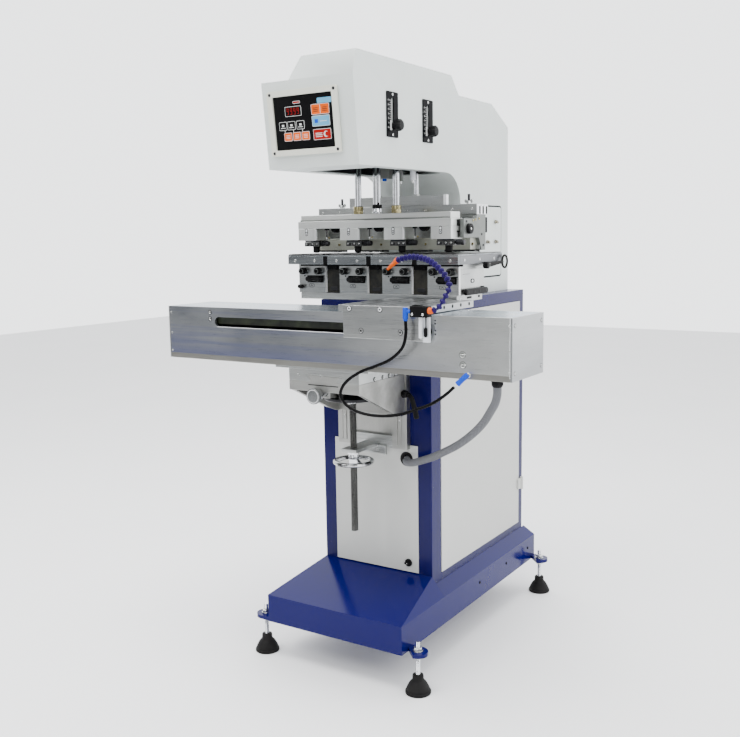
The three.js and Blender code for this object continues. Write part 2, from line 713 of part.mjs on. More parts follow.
function inkCrossbar() {
  const { half, front, back, bottom, top, blade, rodX, rodY } = INK;
  const armInner = BAR.half + 2.5;
  const arm = outline([
    [-127, 1171], [-36, 1171], [-20, 1137], [2, 1137], [5, 1172], [5, bottom + 1],
    [-48, bottom + 1], [-52, 1222], [-127, 1222],
  ]);
  const blades = STATIONS.map((x) => box(x - 46, x + 46, -34, -30, blade, 1152));
  const rods = [-rodX, rodX].map((x) => bar('z', 6, top - 1, CARRIER.bottom + 5, [x, rodY], 16));
  const wingBolts = [-212, 212].flatMap((x) => [
    bar('z', 4, top - 1, top + 10, [x, 3], 12),
    box(x - 13, x + 13, 1, 5, top + 8, top + 28),
  ]);
  const armKnobs = [[-half - 10, -half + 1], [half - 1, half + 10]].map(([from, to]) => {
    return bar('x', 14, from, to, [-100, 1195], 20);
  });
  const { half: reach, front: near, back: far, bottom: low, top: high } = CARRIER;
  const carrier = cut(
    box(-reach, reach, near, far, low, high),
    bar('z', ROD.piston + 0.5, low - 1, high + 1, [0, ROD.y]),
    ...[-ROD.x, ROD.x].map((x) => bar('z', ROD.guide + 0.5, low - 1, high + 1, [x, ROD.y])),
  );
  return join(
    box(-half, half, front, back, bottom, top),
    box(-161, 161, -34, -22, top - 1, 1290),
    prismX(arm, armInner, half),
    prismX(arm, -half, -armInner),
    box(-armInner - 1, armInner + 1, -66, -6, 1139, 1171),
    box(-armInner - 1, armInner + 1, -42, -36, 1150, bottom + 1),
    ...armKnobs,
    ...blades,
    ...rods,
    ...wingBolts,
    carrier,
  );
}

function rodYoke() {
  const { y, x, guide, piston, nut, nutTop, yoke } = ROD;
  const start = BAR.cap + GAP;
  return join(
    box(-82, 82, y - 18, y + 18, yoke, yoke + 20),
    bar('z', piston, start, yoke + 1, [0, y]),
    bar('z', 13, start, start + 12, [0, y], 20),
    ...[-x, x].flatMap((at) => [
      bar('z', guide, start, yoke + 1, [at, y]),
      bar('z', nut, start, nutTop, [at, y], 6),
    ]),
  );
}

function padBar() {
  const { half, front, back, bottom, top, cap, block } = BAR;
  const windows = [-1, 0, 1].map((n) => {
    const reach = (PITCH - block) / 2;
    return box(n * PITCH - reach, n * PITCH + reach, front - 1, back + 1, bottom - 1, 1202);
  });
  const stopKnobs = [-1, 0, 1].map((n) => bar('y', 13, -140, -116, [n * PITCH, 1203], 20));
  return join(
    cut(box(-half, half, front, back, bottom, top), ...windows),
    box(-half + 5, half - 5, front + 8, back - 4, top - 1, cap),
    ...stopKnobs,
  );
}

function printPad(x) {
  const { half, front, back, clampBottom, tip, radius } = PAD;
  const under = BAR.bottom - GAP;
  return join(
    box(x - half, x + half, front, back, clampBottom, under),
    bar('x', 7, x + half - 1, x + half + 27, [front + 12, clampBottom + 8], 14),
    turnedZ([
      [0, tip], [radius * 0.55, tip + 1], [radius * 0.9, tip + 4], [radius, tip + 8],
      [radius, clampBottom + 1], [0, clampBottom + 1],
    ], [x, (front + back) / 2], 20),
  );
}

// ---------------------------------------------------------------- assembly

const machine = new THREE.Group();
machine.position.set(ORIGIN.x, ORIGIN.y, ORIGIN.z);

function add(name, part, look) {
  const mesh = new THREE.Mesh(toGeometry(part), look.clone());
  mesh.name = name;
  machine.add(mesh);
  return mesh;
}

add('base_frame', baseFrame(), MATERIALS.bluePaint);
for (const { end, side, sign, y } of footPlaces()) {
  add(`levelling_foot_${end}_${side}`, levellingFoot(sign * FOOT.x, y), MATERIALS.rubber);
}
add('column_shell', columnShell(), MATERIALS.bluePaint);
add('front_panel', frontPanel(), MATERIALS.whitePaint);
add('panel_lock', panelLock(), MATERIALS.blackPlastic);
add('door_right', doorRight(), MATERIALS.whitePaint);

add('guide_rails', guideRails(), MATERIALS.aluminium);
add('nut_bracket', nutBracket(), MATERIALS.aluminium);
add('handwheel', handwheel(), MATERIALS.chrome);
add('leadscrew', leadscrew(), MATERIALS.steel);
add('saddle_bracket', saddleBracket(), MATERIALS.aluminium);
add('clamp_lever', clampLever(), MATERIALS.blackPlastic);

add('cross_slide', crossSlide(), MATERIALS.aluminium);
add('cross_knob', crossKnob(), MATERIALS.aluminium);
add('beam_housing', beamHousing(), MATERIALS.aluminium);
add('rodless_cylinder', rodlessCylinder(), MATERIALS.steel);
add('carriage', carriage(), MATERIALS.aluminium);
add('blow_valve', blowValve(), MATERIALS.blackPlastic);
add('gooseneck', gooseneck(), MATERIALS.purplePlastic);
add('conduit_gland', conduitGland(), MATERIALS.blackPlastic);
add('hose_fitting', hoseFitting(), MATERIALS.blueFitting);
add('air_hose', tube(AIR_HOSE.points, AIR_HOSE.radius, 44, 8), MATERIALS.hose);
add('conduit', tube(CONDUIT.points, CONDUIT.radius, 30, 10), MATERIALS.greyBraid);

add('printing_bed', printingBed(), MATERIALS.aluminium);
add('plate_tray', plateTray(), MATERIALS.aluminium);
add('plate_lock_lever', plateLockLever(), MATERIALS.blackPlastic);
add('bed_lever', bedLever(), MATERIALS.blackPlastic);
STATIONS.forEach((x, i) => add(`cliche_plate_${i + 1}`, clichePlate(x), MATERIALS.steel));
BED_CENTRES.forEach((centre, i) => {
  add(`register_roller_${i + 1}`, registerRoller(centre), MATERIALS.blackPlastic);
  const [left, right] = registerPlaces(centre);
  add(`register_screw_${i + 1}_left`, registerScrew(left), MATERIALS.blackPlastic);
  add(`register_screw_${i + 1}_right`, registerScrew(right), MATERIALS.blackPlastic);
});

add('head_shell', headShell(), MATERIALS.greyPaint);
placeControlPanel(add('control_panel', controlPanel(), MATERIALS.blackPlastic));
add('stroke_scale_front', strokeScale(SCALE.front), MATERIALS.blackPlastic);
add('stroke_scale_rear', strokeScale(SCALE.rear), MATERIALS.blackPlastic);
add('stroke_knob_front', strokeKnob(SCALE.front), MATERIALS.blackPlastic);
add('stroke_knob_rear', strokeKnob(SCALE.rear), MATERIALS.blackPlastic);
add('side_cover', sideCover(), MATERIALS.greyPaint);

add('ink_crossbar', inkCrossbar(), MATERIALS.aluminium);
add('rod_yoke', rodYoke(), MATERIALS.chrome);
add('pad_bar', padBar(), MATERIALS.aluminium);
STATIONS.forEach((x, i) => add(`print_pad_${i + 1}`, printPad(x), MATERIALS.rubber));

const exported = new THREE.Group();
exported.add(machine);

export default exported;
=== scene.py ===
import math

import bmesh
import bpy
from mathutils import Matrix, Vector


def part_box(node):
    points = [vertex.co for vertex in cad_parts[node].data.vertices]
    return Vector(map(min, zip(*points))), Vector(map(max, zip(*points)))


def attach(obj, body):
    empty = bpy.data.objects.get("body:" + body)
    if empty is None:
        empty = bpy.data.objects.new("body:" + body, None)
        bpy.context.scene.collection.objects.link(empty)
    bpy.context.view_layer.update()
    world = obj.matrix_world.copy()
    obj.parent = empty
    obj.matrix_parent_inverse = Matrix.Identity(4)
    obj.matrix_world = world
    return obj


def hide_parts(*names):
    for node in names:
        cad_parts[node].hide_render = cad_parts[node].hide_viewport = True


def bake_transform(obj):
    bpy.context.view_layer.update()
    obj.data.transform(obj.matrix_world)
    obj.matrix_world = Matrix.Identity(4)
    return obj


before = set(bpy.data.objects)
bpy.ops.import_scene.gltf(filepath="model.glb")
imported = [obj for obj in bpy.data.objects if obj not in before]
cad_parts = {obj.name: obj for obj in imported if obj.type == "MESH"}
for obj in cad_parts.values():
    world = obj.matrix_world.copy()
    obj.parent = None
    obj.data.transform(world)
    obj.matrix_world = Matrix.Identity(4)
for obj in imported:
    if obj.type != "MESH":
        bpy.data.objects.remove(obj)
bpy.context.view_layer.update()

# Everything below is written in millimetres from the machine's own centreline, as a fitter would
# measure it: x from the middle of the column, y from a line 163 mm behind the column's front, and
# z from the floor. GAP is the air left between two parts that meet. place() turns such a point
# into the frame's metres.

MM = 0.001
COLUMN_LOW, COLUMN_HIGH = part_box("column_shell")
COLUMN_FRONT = -163
ORIGIN = Vector((
    (COLUMN_LOW.x + COLUMN_HIGH.x) / 2,
    COLUMN_LOW.y - COLUMN_FRONT * MM,
    0,
))
GAP = 0.3

X, Y, Z = Vector((1, 0, 0)), Vector((0, 1, 0)), Vector((0, 0, 1))


def place(point):
    return ORIGIN + Vector(point) * MM


def node_box(node):
    """A CAD node's lowest and highest corners in the machine's millimetres."""
    low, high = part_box(node)
    return (low - ORIGIN) / MM, (high - ORIGIN) / MM


# ------------------------------------------------------------------ shapes

def turns(count):
    """The angles of a full turn in even steps."""
    return [2 * math.pi * i / count for i in range(count)]


def round_form(angle):
    """A round section: the same reach at every angle."""
    return 1.0


def hexagon(angle):
    """A hexagon's reach at an angle, as a share of its corner radius."""
    sixth = math.pi / 3
    return math.cos(sixth / 2) / math.cos(angle % sixth - sixth / 2)


def ridges(count, depth):
    """A ring whose radius dips count times by a share of depth, for knurls and lobes."""
    return lambda angle: 1 - depth * (0.5 - 0.5 * math.cos(count * angle))


def smooth_path(points, steps):
    """A centripetal Catmull-Rom line through the points, as a list of evenly numbered points."""
    given = [Vector(p) for p in points]
    ends = [2 * given[0] - given[1], *given, 2 * given[-1] - given[-2]]
    spans = len(given) - 1
    line = []
    for step in range(steps + 1):
        at = min(step * spans / steps, spans - 1e-6)
        start = int(at)
        p = ends[start:start + 4]
        t = [0.0]
        for a, b in zip(p, p[1:]):
            t.append(t[-1] + math.sqrt((b - a).length))
        u = t[1] + (at - start) * (t[2] - t[1])
        a = [p[i].lerp(p[i + 1], (u - t[i]) / (t[i + 1] - t[i])) for i in range(3)]
        b = [a[i].lerp(a[i + 1], (u - t[i]) / (t[i + 2] - t[i])) for i in range(2)]
        line.append(b[0].lerp(b[1], (u - t[1]) / (t[2] - t[1])))
    return line


def rounded(u0, u1, v0, v1, radius, steps=6):
    """A rectangle with round corners, counter-clockwise."""
    corners = [(u1 - radius, v0 + radius, -90), (u1 - radius, v1 - radius, 0),
               (u0 + radius, v1 - radius, 90), (u0 + radius, v0 + radius, 180)]
    points = []
    for u, v, start in corners:
        for i in range(steps + 1):
            angle = math.radians(start + 90 * i / steps)
            points.append((u + radius * math.cos(angle), v + radius * math.sin(angle)))
    return points


def disc_outline(u, v, radius, sides=32):
    """A circle as an outline, counter-clockwise."""
    return [(u + radius * math.cos(a), v + radius * math.sin(a)) for a in turns(sides)]


def disc_spot(angle, radius):
    """The point at an angle on a circle about the origin."""
    return radius * math.cos(angle), radius * math.sin(angle)


def mirrored(side, near, far):
    """Two distances from the middle as low and high ends on the right (1) or the left (-1)."""
    return sorted((side * near, side * far))


def skin(part, rings):
    """Joins rings of vertices into a closed tube and returns its side faces in order."""
    sides = []
    for low, high in zip(rings, rings[1:]):
        for i in range(len(low)):
            k = (i + 1) % len(low)
            sides.append(part.faces.new((low[i], low[k], high[k], high[i])))
    part.faces.new(rings[0][::-1])
    part.faces.new(rings[-1])
    return sides


def facing(along):
    """The turn that points a part's own Z along a direction."""
    return Vector(along).to_track_quat("Z", "Y").to_matrix()


WELD_DISTANCE = 0.02
FLAT_ANGLE = math.radians(0.6)
SHARP_EDGE = math.radians(25)


class Piece:
    """One visible piece, gathered from bevelled blocks, prisms, turned parts and tubes."""

    def __init__(self, name, pose=None):
        self.name = name
        self.pose = pose or Matrix.Identity(4)
        self.bm = bmesh.new()
        self.uv = self.bm.loops.layers.uv.new("UVMap")
        self.looks = []

    def look_index(self, look):
        if look not in self.looks:
            self.looks.append(look)
        return self.looks.index(look)

    def absorb(self, part, look, bevel=0.0, segments=2):
        """Adds a small bmesh in machine millimetres, with its sharp edges bevelled."""
        if bevel:
            edges = [e for e in part.edges if len(e.link_faces) == 2
                     and e.calc_face_angle(0) > SHARP_EDGE]
            bmesh.ops.bevel(part, geom=edges, offset=bevel, offset_type="OFFSET",
                            segments=segments, profile=0.5, affect="EDGES",
                            clamp_overlap=True)
        index = self.look_index(look)
        uv_from = part.loops.layers.uv.active
        copies = {v: self.bm.verts.new(place(self.pose @ v.co)) for v in part.verts}
        for face in part.faces:
            new = self.bm.faces.new([copies[v] for v in face.verts])
            new.material_index = index
            new.smooth = True
            if uv_from:
                for a, b in zip(new.loops, face.loops):
                    a[self.uv].uv = b[uv_from].uv
        part.free()
        return self

    def block(self, low, high, look, bevel=0.5, segments=2):
        part = bmesh.new()
        bmesh.ops.create_cube(part, size=1)
        low, high = Vector(low), Vector(high)
        size, middle = high - low, (high + low) / 2
        for v in part.verts:
            v.co = Vector([v.co[i] * size[i] + middle[i] for i in range(3)])
        return self.absorb(part, look, bevel, segments)

    def prism(self, axis, outline, start, end, look, bevel=0.5, segments=2, holes=()):
        """An outline in the two other axes, in x, y, z order, pulled along one axis."""
        def lift(u, v, w):
            return {"x": (w, u, v), "y": (u, w, v), "z": (u, v, w)}[axis]
        part = bmesh.new()
        rings = [outline, *holes]
        edges = []
        for ring in rings:
            verts = [part.verts.new(lift(u, v, start)) for u, v in ring]
            pairs = zip(verts, verts[1:] + verts[:1])
            edges.extend(part.edges.new(pair) for pair in pairs)
        if holes:
            bmesh.ops.triangle_fill(part, edges=edges, use_beauty=True)
        else:
            part.faces.new(part.verts)
        shift = Vector(lift(0, 0, end)) - Vector(lift(0, 0, start))
        made = bmesh.ops.extrude_face_region(part, geom=list(part.faces))
        moved = [g for g in made["geom"] if isinstance(g, bmesh.types.BMVert)]
        bmesh.ops.translate(part, verts=moved, vec=shift)
        bmesh.ops.recalc_face_normals(part, faces=list(part.faces))
        return self.absorb(part, look, bevel, segments)

    def turned(self, profile, at, along, look, sides=40):
        """A turned part: (radius, height) or (radius, height, form) from its base at 'at'."""
        part = bmesh.new()
        turn, base = facing(along), Vector(at)
        rings = []
        for radius, height, *form in profile:
            shape = form[0] if form else round_form
            if radius < 1e-6:
                rings.append([part.verts.new(base + turn @ Vector((0, 0, height)))])
                continue
            ring = []
            for angle in turns(sides):
                reach = radius * shape(angle)
                spot = Vector((reach * math.cos(angle), reach * math.sin(angle), height))
                ring.append(part.verts.new(base + turn @ spot))
            rings.append(ring)
        for low, high in zip(rings, rings[1:]):
            if len(low) == 1 and len(high) == 1:
                continue
            for i in range(sides):
                j = (i + 1) % sides
                if len(low) == 1:
                    part.faces.new((low[0], high[j], high[i]))
                elif len(high) == 1:
                    part.faces.new((low[i], low[j], high[0]))
                else:
                    part.faces.new((low[i], low[j], high[j], high[i]))
        for ring, flip in ((rings[0], True), (rings[-1], False)):
            if len(ring) > 1:
                part.faces.new(ring[::-1] if flip else ring)
        bmesh.ops.recalc_face_normals(part, faces=list(part.faces))
        return self.absorb(part, look)

    def bar(self, start, end, radius, look, chamfer=0.5, sides=40, form=None):
        """A round bar between two points, with chamfered ends."""
        start, end = Vector(start), Vector(end)
        length = (end - start).length
        extra = (form,) if form else ()
        profile = [(0, 0), (radius - chamfer, 0, *extra), (radius, chamfer, *extra),
                   (radius, length - chamfer, *extra), (radius - chamfer, length, *extra),
                   (0, length)]
        return self.turned(profile, start, end - start, look, sides)

    def torus(self, centre, along, mean, tube, look, sides=72, steps=20):
        """A ring of round section about an axis."""
        part = bmesh.new()
        turn = facing(along)
        rings = []
        for a in turns(sides):
            ring = []
            for b in turns(steps):
                reach = mean + tube * math.cos(b)
                spot = Vector((reach * math.cos(a), reach * math.sin(a), tube * math.sin(b)))
                ring.append(part.verts.new(Vector(centre) + turn @ spot))
            rings.append(ring)
        for i in range(sides):
            for k in range(steps):
                here, there = rings[i], rings[(i + 1) % sides]
                m = (k + 1) % steps
                part.faces.new((here[k], there[k], there[m], here[m]))
        bmesh.ops.recalc_face_normals(part, faces=list(part.faces))
        return self.absorb(part, look)

    def thread(self, centre, start, end, radius, depth, pitch, look, sides=32, steps=6):
        """A real single-start screw thread on a vertical rod."""
        part = bmesh.new()
        count = int((end - start) / pitch * steps)
        rings = []
        for j in range(count + 1):
            ring = []
            z = start + (end - start) * j / count
            for i, angle in enumerate(turns(sides)):
                share = j / steps + i / sides
                phase = abs((share % 1) * 2 - 1)
                reach = radius - depth * min(1, max(0, 1.6 * phase - 0.3))
                x, y = reach * math.cos(angle), reach * math.sin(angle)
                ring.append(part.verts.new((centre[0] + x, centre[1] + y, z)))
            rings.append(ring)
        skin(part, rings)
        return self.absorb(part, look)

    def tube(self, line, radius, look, sides=16, relief=None):
        """A tube along a line; relief(share around, millimetres along) adds to its radius."""
        part = bmesh.new()
        uv = part.loops.layers.uv.new("UVMap")
        points = [Vector(p) for p in line]
        tangents = []
        for i in range(len(points)):
            a, b = points[max(i - 1, 0)], points[min(i + 1, len(points) - 1)]
            tangents.append((b - a).normalized())
        side = tangents[0].orthogonal().normalized()
        rings, along, travelled = [], [], 0.0
        for i, (point, tangent) in enumerate(zip(points, tangents)):
            side = (side - tangent * side.dot(tangent)).normalized()
            other = tangent.cross(side)
            travelled += (point - points[i - 1]).length if i else 0.0
            along.append(travelled)
            ring = []
            for k, angle in enumerate(turns(sides)):
                reach = radius + (relief(k / sides, travelled) if relief else 0)
                spot = side * math.cos(angle) * reach + other * math.sin(angle) * reach
                ring.append(part.verts.new(point + spot))
            rings.append(ring)
        for number, face in enumerate(skin(part, rings)):
            j, k = divmod(number, sides)
            spots = [(k, j), (k + 1, j), (k + 1, j + 1), (k, j + 1)]
            for loop, (a, b) in zip(face.loops, spots):
                loop[uv].uv = (a / sides, along[b])
        return self.absorb(part, look)

    def disc(self, radius, height, at, along, look, sides):
        """A plain flat disc or washer."""
        return self.turned([(0, 0), (radius, 0), (radius, height), (0, height)], at, along, look,
                           sides)

    def shade_ring(self, radius, at, along, look, sides):
        """The thin dark ring that shows round a sunk screw."""
        return self.turned([(radius, 0), (radius, 0.2), (0, 0.25)], at, along, look, sides)

    def cad(self, node, look, bevel=1.0, segments=2):
        """The CAD node's own solid, with its flat faces whole again and its edges bevelled."""
        part = bmesh.new()
        part.from_mesh(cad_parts[node].data)
        for v in part.verts:
            v.co = (v.co - ORIGIN) / MM
        bmesh.ops.remove_doubles(part, verts=list(part.verts), dist=WELD_DISTANCE)
        bmesh.ops.dissolve_limit(part, angle_limit=FLAT_ANGLE,
                                 verts=list(part.verts), edges=list(part.edges))
        for layer in list(part.loops.layers.uv.values()):
            part.loops.layers.uv.remove(layer)
        return self.absorb(part, look, bevel, segments)

    def screw(self, at, along, look, radius=4.0, height=4.0):
        """A socket head cap screw with its hexagon recess."""
        key, floor = radius * 0.5, height * 0.4
        c = 0.12 * radius
        profile = [(0, -0.2), (radius, -0.2), (radius, height - c), (radius - c, height),
                   (key + 0.2, height), (key, height - 0.3, hexagon), (key, floor, hexagon),
                   (0, floor)]
        return self.turned(profile, at, along, look, sides=24)

    def flat_screw(self, at, along, look, radius=4.0, height=1.6):
        """A pan head screw with a cross recess shown as two crossing slots."""
        profile = [(0, -0.2), (radius, -0.2), (radius, 0.3 * height),
                   (radius * 0.8, 0.8 * height), (radius * 0.45, height),
                   (radius * 0.3, height * 0.6, ridges(4, 0.5)), (0, height * 0.35)]
        return self.turned(profile, at, along, look, sides=24)

    def nut(self, at, along, look, radius, height):
        """A hexagon nut with chamfered ends."""
        c = 0.12 * radius
        profile = [(0, 0), (radius - c, 0), (radius, c, hexagon), (radius, height - c, hexagon),
                   (radius - c, height), (0, height)]
        return self.turned(profile, at, along, look, sides=36)

    def done(self, body, slot=None, replaces=(), smooth=38):
        """Makes the object and gives it its body and the CAD nodes that it replaces; its slot is
        not used.
        """
        mesh = bpy.data.meshes.new(self.name)
        self.bm.to_mesh(mesh)
        self.bm.free()
        for look in self.looks:
            mesh.materials.append(look)
        mesh.set_sharp_from_angle(angle=math.radians(smooth))
        obj = bpy.data.objects.new(self.name, mesh)
        bpy.context.scene.collection.objects.link(obj)
        even = obj.modifiers.new("even normals", "WEIGHTED_NORMAL")
        even.keep_sharp = True
        if body:
            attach(obj, body)
        if replaces:
            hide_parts(*replaces)
        return obj

# ------------------------------------------------------------------ materials

def socket_set(shader, values):
    """Sets a node's inputs by name."""
    for name, value in values.items():
        shader.inputs[name].default_value = value


class Look:
    """A node material being wired: helpers add a node and return its useful output."""

    def __init__(self, name, **values):
        self.material = bpy.data.materials.new(name)
        self.material.use_nodes = True
        self.nodes = self.material.node_tree.nodes
        self.links = self.material.node_tree.links
        self.shader = self.nodes["Principled BSDF"]
        socket_set(self.shader, values)
        coordinates = self.nodes.new("ShaderNodeTexCoord")
        self.spot = coordinates.outputs["Object"]
        self.unwrapped = coordinates.outputs["UV"]

    def stretched(self, scale):
        node = self.nodes.new("ShaderNodeMapping")
        node.inputs["Scale"].default_value = scale
        self.links.new(self.spot, node.inputs["Vector"])
        return node.outputs["Vector"]

    def noise(self, scale, detail=3, vector=None, rough=0.5):
        node = self.nodes.new("ShaderNodeTexNoise")
        socket_set(node, {"Scale": scale, "Detail": detail, "Roughness": rough})
        self.links.new(vector or self.spot, node.inputs["Vector"])
        return node.outputs["Fac"]

    def math(self, operation, a, b=0.0, c=None):
        node = self.nodes.new("ShaderNodeMath")
        node.operation = operation
        for socket, value in zip(node.inputs, (a, b, c)):
            if isinstance(value, bpy.types.NodeSocket):
                self.links.new(value, socket)
            elif value is not None:
                socket.default_value = value
        return node.outputs[0]

    def spread(self, value, low, high, start=0.25, end=0.75):
        """Maps a noise's usual range to low..high."""
        node = self.nodes.new("ShaderNodeMapRange")
        self.links.new(value, node.inputs["Value"])
        socket_set(node, {"From Min": start, "From Max": end, "To Min": low, "To Max": high})
        return node.outputs["Result"]

    def blended(self, share, first, second):
        node = self.nodes.new("ShaderNodeMix")
        node.data_type = "RGBA"
        self.links.new(share, node.inputs[0])
        for socket, colour in ((node.inputs[6], first), (node.inputs[7], second)):
            if isinstance(colour, bpy.types.NodeSocket):
                self.links.new(colour, socket)
            else:
                socket.default_value = (*colour, 1)
        return node.outputs[2]

    def worn(self, colour, wear, amount):
        """Shows the wear colour where the surface turns over an edge."""
        geometry = self.nodes.new("ShaderNodeNewGeometry")
        share = self.spread(geometry.outputs["Pointiness"], 0, amount, 0.53, 0.62)
        return self.blended(share, colour, wear)

    def paint(self, colour, roughness=None):
        self.links.new(colour, self.shader.inputs["Base Color"])
        if roughness is not None:
            self.links.new(roughness, self.shader.inputs["Roughness"])

    def bump(self, height, distance, strength=1.0):
        node = self.nodes.new("ShaderNodeBump")
        socket_set(node, {"Distance": distance, "Strength": strength})
        self.links.new(height, node.inputs["Height"])
        self.links.new(node.outputs["Normal"], self.shader.inputs["Normal"])


def coated(name, colour, deep, pale, roughness, orange_peel, grain, coat=0.0, **values):
    """Painted or powder-coated sheet: slow colour drift, a fine surface texture, paler edges."""
    look = Look(name, **{"Coat Weight": coat, "Coat Roughness": 0.12, **values})
    drift = look.noise(9, 4)
    tone = look.blended(look.spread(drift, 0, 1), colour, deep)
    look.paint(look.worn(tone, pale, 0.55),
               look.spread(look.noise(60, 3), roughness * 0.88, roughness * 1.15))
    look.bump(look.noise(grain, 2), orange_peel)
    return look.material


def brushed(name, colour, deep, along, roughness, metallic=1.0, depth=0.00001, pale=None):
    """Rolled or machined metal with fine lines that run along one axis."""
    look = Look(name, **{"Metallic": metallic})
    scale = {"x": (12, 1100, 1100), "y": (1100, 12, 1100), "z": (1100, 1100, 12)}[along]
    slow = {"x": (3, 16, 16), "y": (16, 3, 16), "z": (16, 16, 3)}[along]
    lines = look.noise(1, 5, look.stretched(scale), 0.6)
    clouds = look.noise(1, 4, look.stretched(slow))
    share = look.math("MULTIPLY_ADD", lines, 0.35, look.math("MULTIPLY", clouds, 0.65))
    tone = look.blended(look.spread(share, 0, 1, 0.38, 0.62), deep, colour)
    look.paint(look.worn(tone, pale or colour, 0.6),
               look.spread(lines, roughness * 0.75, roughness * 1.3))
    look.bump(lines, depth)
    return look.material


def moulded(name, colour, deep, roughness, grain=1400, depth=0.00003, **values):
    """Moulded plastic or rubber with a fine eroded texture and a slow drift between two tones."""
    look = Look(name, **values)
    fine = look.noise(grain, 2)
    drift = look.noise(30, 3)
    look.paint(look.blended(look.spread(drift, 0, 1), colour, deep),
               look.spread(fine, roughness * 0.85, roughness * 1.15))
    look.bump(fine, depth)
    return look.material


DULL = {"Specular IOR Level": 0.10}


def clean(name, colour, deep, roughness):
    """Smooth coloured plastic with little gloss."""
    return moulded(name, colour, deep, roughness, 900, 0.00001, **DULL)


def smooth(name, colour, deep, roughness, specular):
    """Black plastic that mirrors a set share of the room."""
    return moulded(name, colour, deep, roughness, 300, 0.000006, **{"Specular IOR Level": specular})


def polished(name, colour, deep, roughness, scale=70):
    """Chrome plate or a ground rod: a mirror surface with darker cloudy patches."""
    look = Look(name, **{"Metallic": 1.0})
    haze = look.noise(scale, 4)
    look.paint(look.blended(look.spread(haze, 0, 1, 0.36, 0.64), colour, deep),
               look.spread(haze, roughness * 0.6, roughness * 1.8))
    look.bump(look.noise(500, 2), 0.000004)
    return look.material


BRAID_STRANDS, BRAID_PITCH, BRAID_DEPTH = 14, 7.0, 0.35


def braided(name):
    """A braided sleeve: two sets of strands that cross, drawn on the tube's own unwrapping, with
    painted shade where the weave is low.
    """
    look = Look(name, **{"Metallic": 0.35, "Specular IOR Level": 0.4})
    split = look.nodes.new("ShaderNodeSeparateXYZ")
    look.links.new(look.unwrapped, split.inputs[0])
    around = look.math("MULTIPLY", split.outputs["X"], 2 * math.pi * BRAID_STRANDS)
    along = look.math("MULTIPLY", split.outputs["Y"], 2 * math.pi / BRAID_PITCH)
    one = look.math("SINE", look.math("ADD", around, along))
    two = look.math("SINE", look.math("SUBTRACT", around, along))
    weave = look.math("MAXIMUM", one, two)
    strand = look.math("SINE", look.math("MULTIPLY", around, 5))
    height = look.math("MULTIPLY_ADD", strand, 0.25, weave)
    # Darker where the weave is low: painted shade between the strands.
    tone = look.blended(look.spread(height, 0, 1, -0.4, 1.1), (0.035, 0.037, 0.042),
                        (0.20, 0.205, 0.22))
    drift = look.spread(look.noise(25, 3), 0, 0.35)
    look.paint(look.blended(drift, tone, (0.15, 0.153, 0.165)),
               look.spread(look.noise(300, 2), 0.42, 0.62))
    look.bump(height, 0.0004)
    return look.material


def stained(name, colour, stain, roughness, scale=45):
    """Metal with dried ink on it."""
    look = Look(name, **{"Metallic": 0.4})
    smear = look.noise(1, 5, look.stretched((scale, scale * 0.35, scale)), 0.6)
    look.paint(look.blended(look.spread(smear, 0, 1, 0.40, 0.60), colour, stain),
               look.spread(smear, roughness * 0.7, roughness * 1.3))
    look.bump(look.noise(220, 4), 0.00008)
    return look.material


# The base's blue is a darker copy of the column's blue gloss paint: painted shade.
SHADED_BASE_PAINT = coated("blue gloss paint, shaded copy on the base", (0.0010, 0.0004, 0.052),
                    (0.0007, 0.0003, 0.042), (0.002, 0.002, 0.10),
                    0.16, 0.00004, 90, coat=0.10, **DULL)
BLUE_PAINT = coated("blue gloss paint", (0.0030, 0.0018, 0.066), (0.0020, 0.0014, 0.050),
                    (0.003, 0.002, 0.10), 0.24, 0.00004, 90, coat=0.10, **DULL)
GREY_PAINT = coated("light grey powder coat", (0.625, 0.665, 0.645), (0.585, 0.625, 0.61),
                    (0.635, 0.675, 0.655), 0.46, 0.00005, 700)
WHITE_PAINT = coated("white powder coat", (0.50, 0.505, 0.485), (0.46, 0.465, 0.45),
                     (0.52, 0.525, 0.505), 0.48, 0.00006, 700)
CREAM_PLASTIC = moulded("cream bezel", (0.68, 0.685, 0.60), (0.62, 0.625, 0.55), 0.4, 900)
ALUMINIUM_X = brushed("aluminium brushed lengthwise", (0.50, 0.51, 0.50), (0.33, 0.34, 0.345), "x",
                      0.30)
ALUMINIUM_Y = brushed("aluminium brushed front to back", (0.46, 0.47, 0.475), (0.32, 0.33, 0.34),
                      "y", 0.32)
ALUMINIUM_Z = brushed("aluminium drawn upright", (0.46, 0.46, 0.44), (0.29, 0.29, 0.28), "z", 0.34)
# The beam's top plate: aluminium whose bluish tone is a painted reflection.
TOP_PLATE_BLUE_REFLECTION = brushed("aluminium top plate with painted blue reflection", (0.40, 0.44, 0.47), (0.17, 0.26, 0.36), "x", 0.26)
LIP_METAL = brushed("bottom plate edge", (0.33, 0.325, 0.30), (0.24, 0.235, 0.225), "x", 0.34)
# A pale metal for painted highlights on lit edges, side faces and screw heads.
PAINTED_HIGHLIGHT_METAL = brushed("painted highlight on metal", (0.86, 0.87, 0.88), (0.76, 0.77, 0.78), "x", 0.4, 0.35)
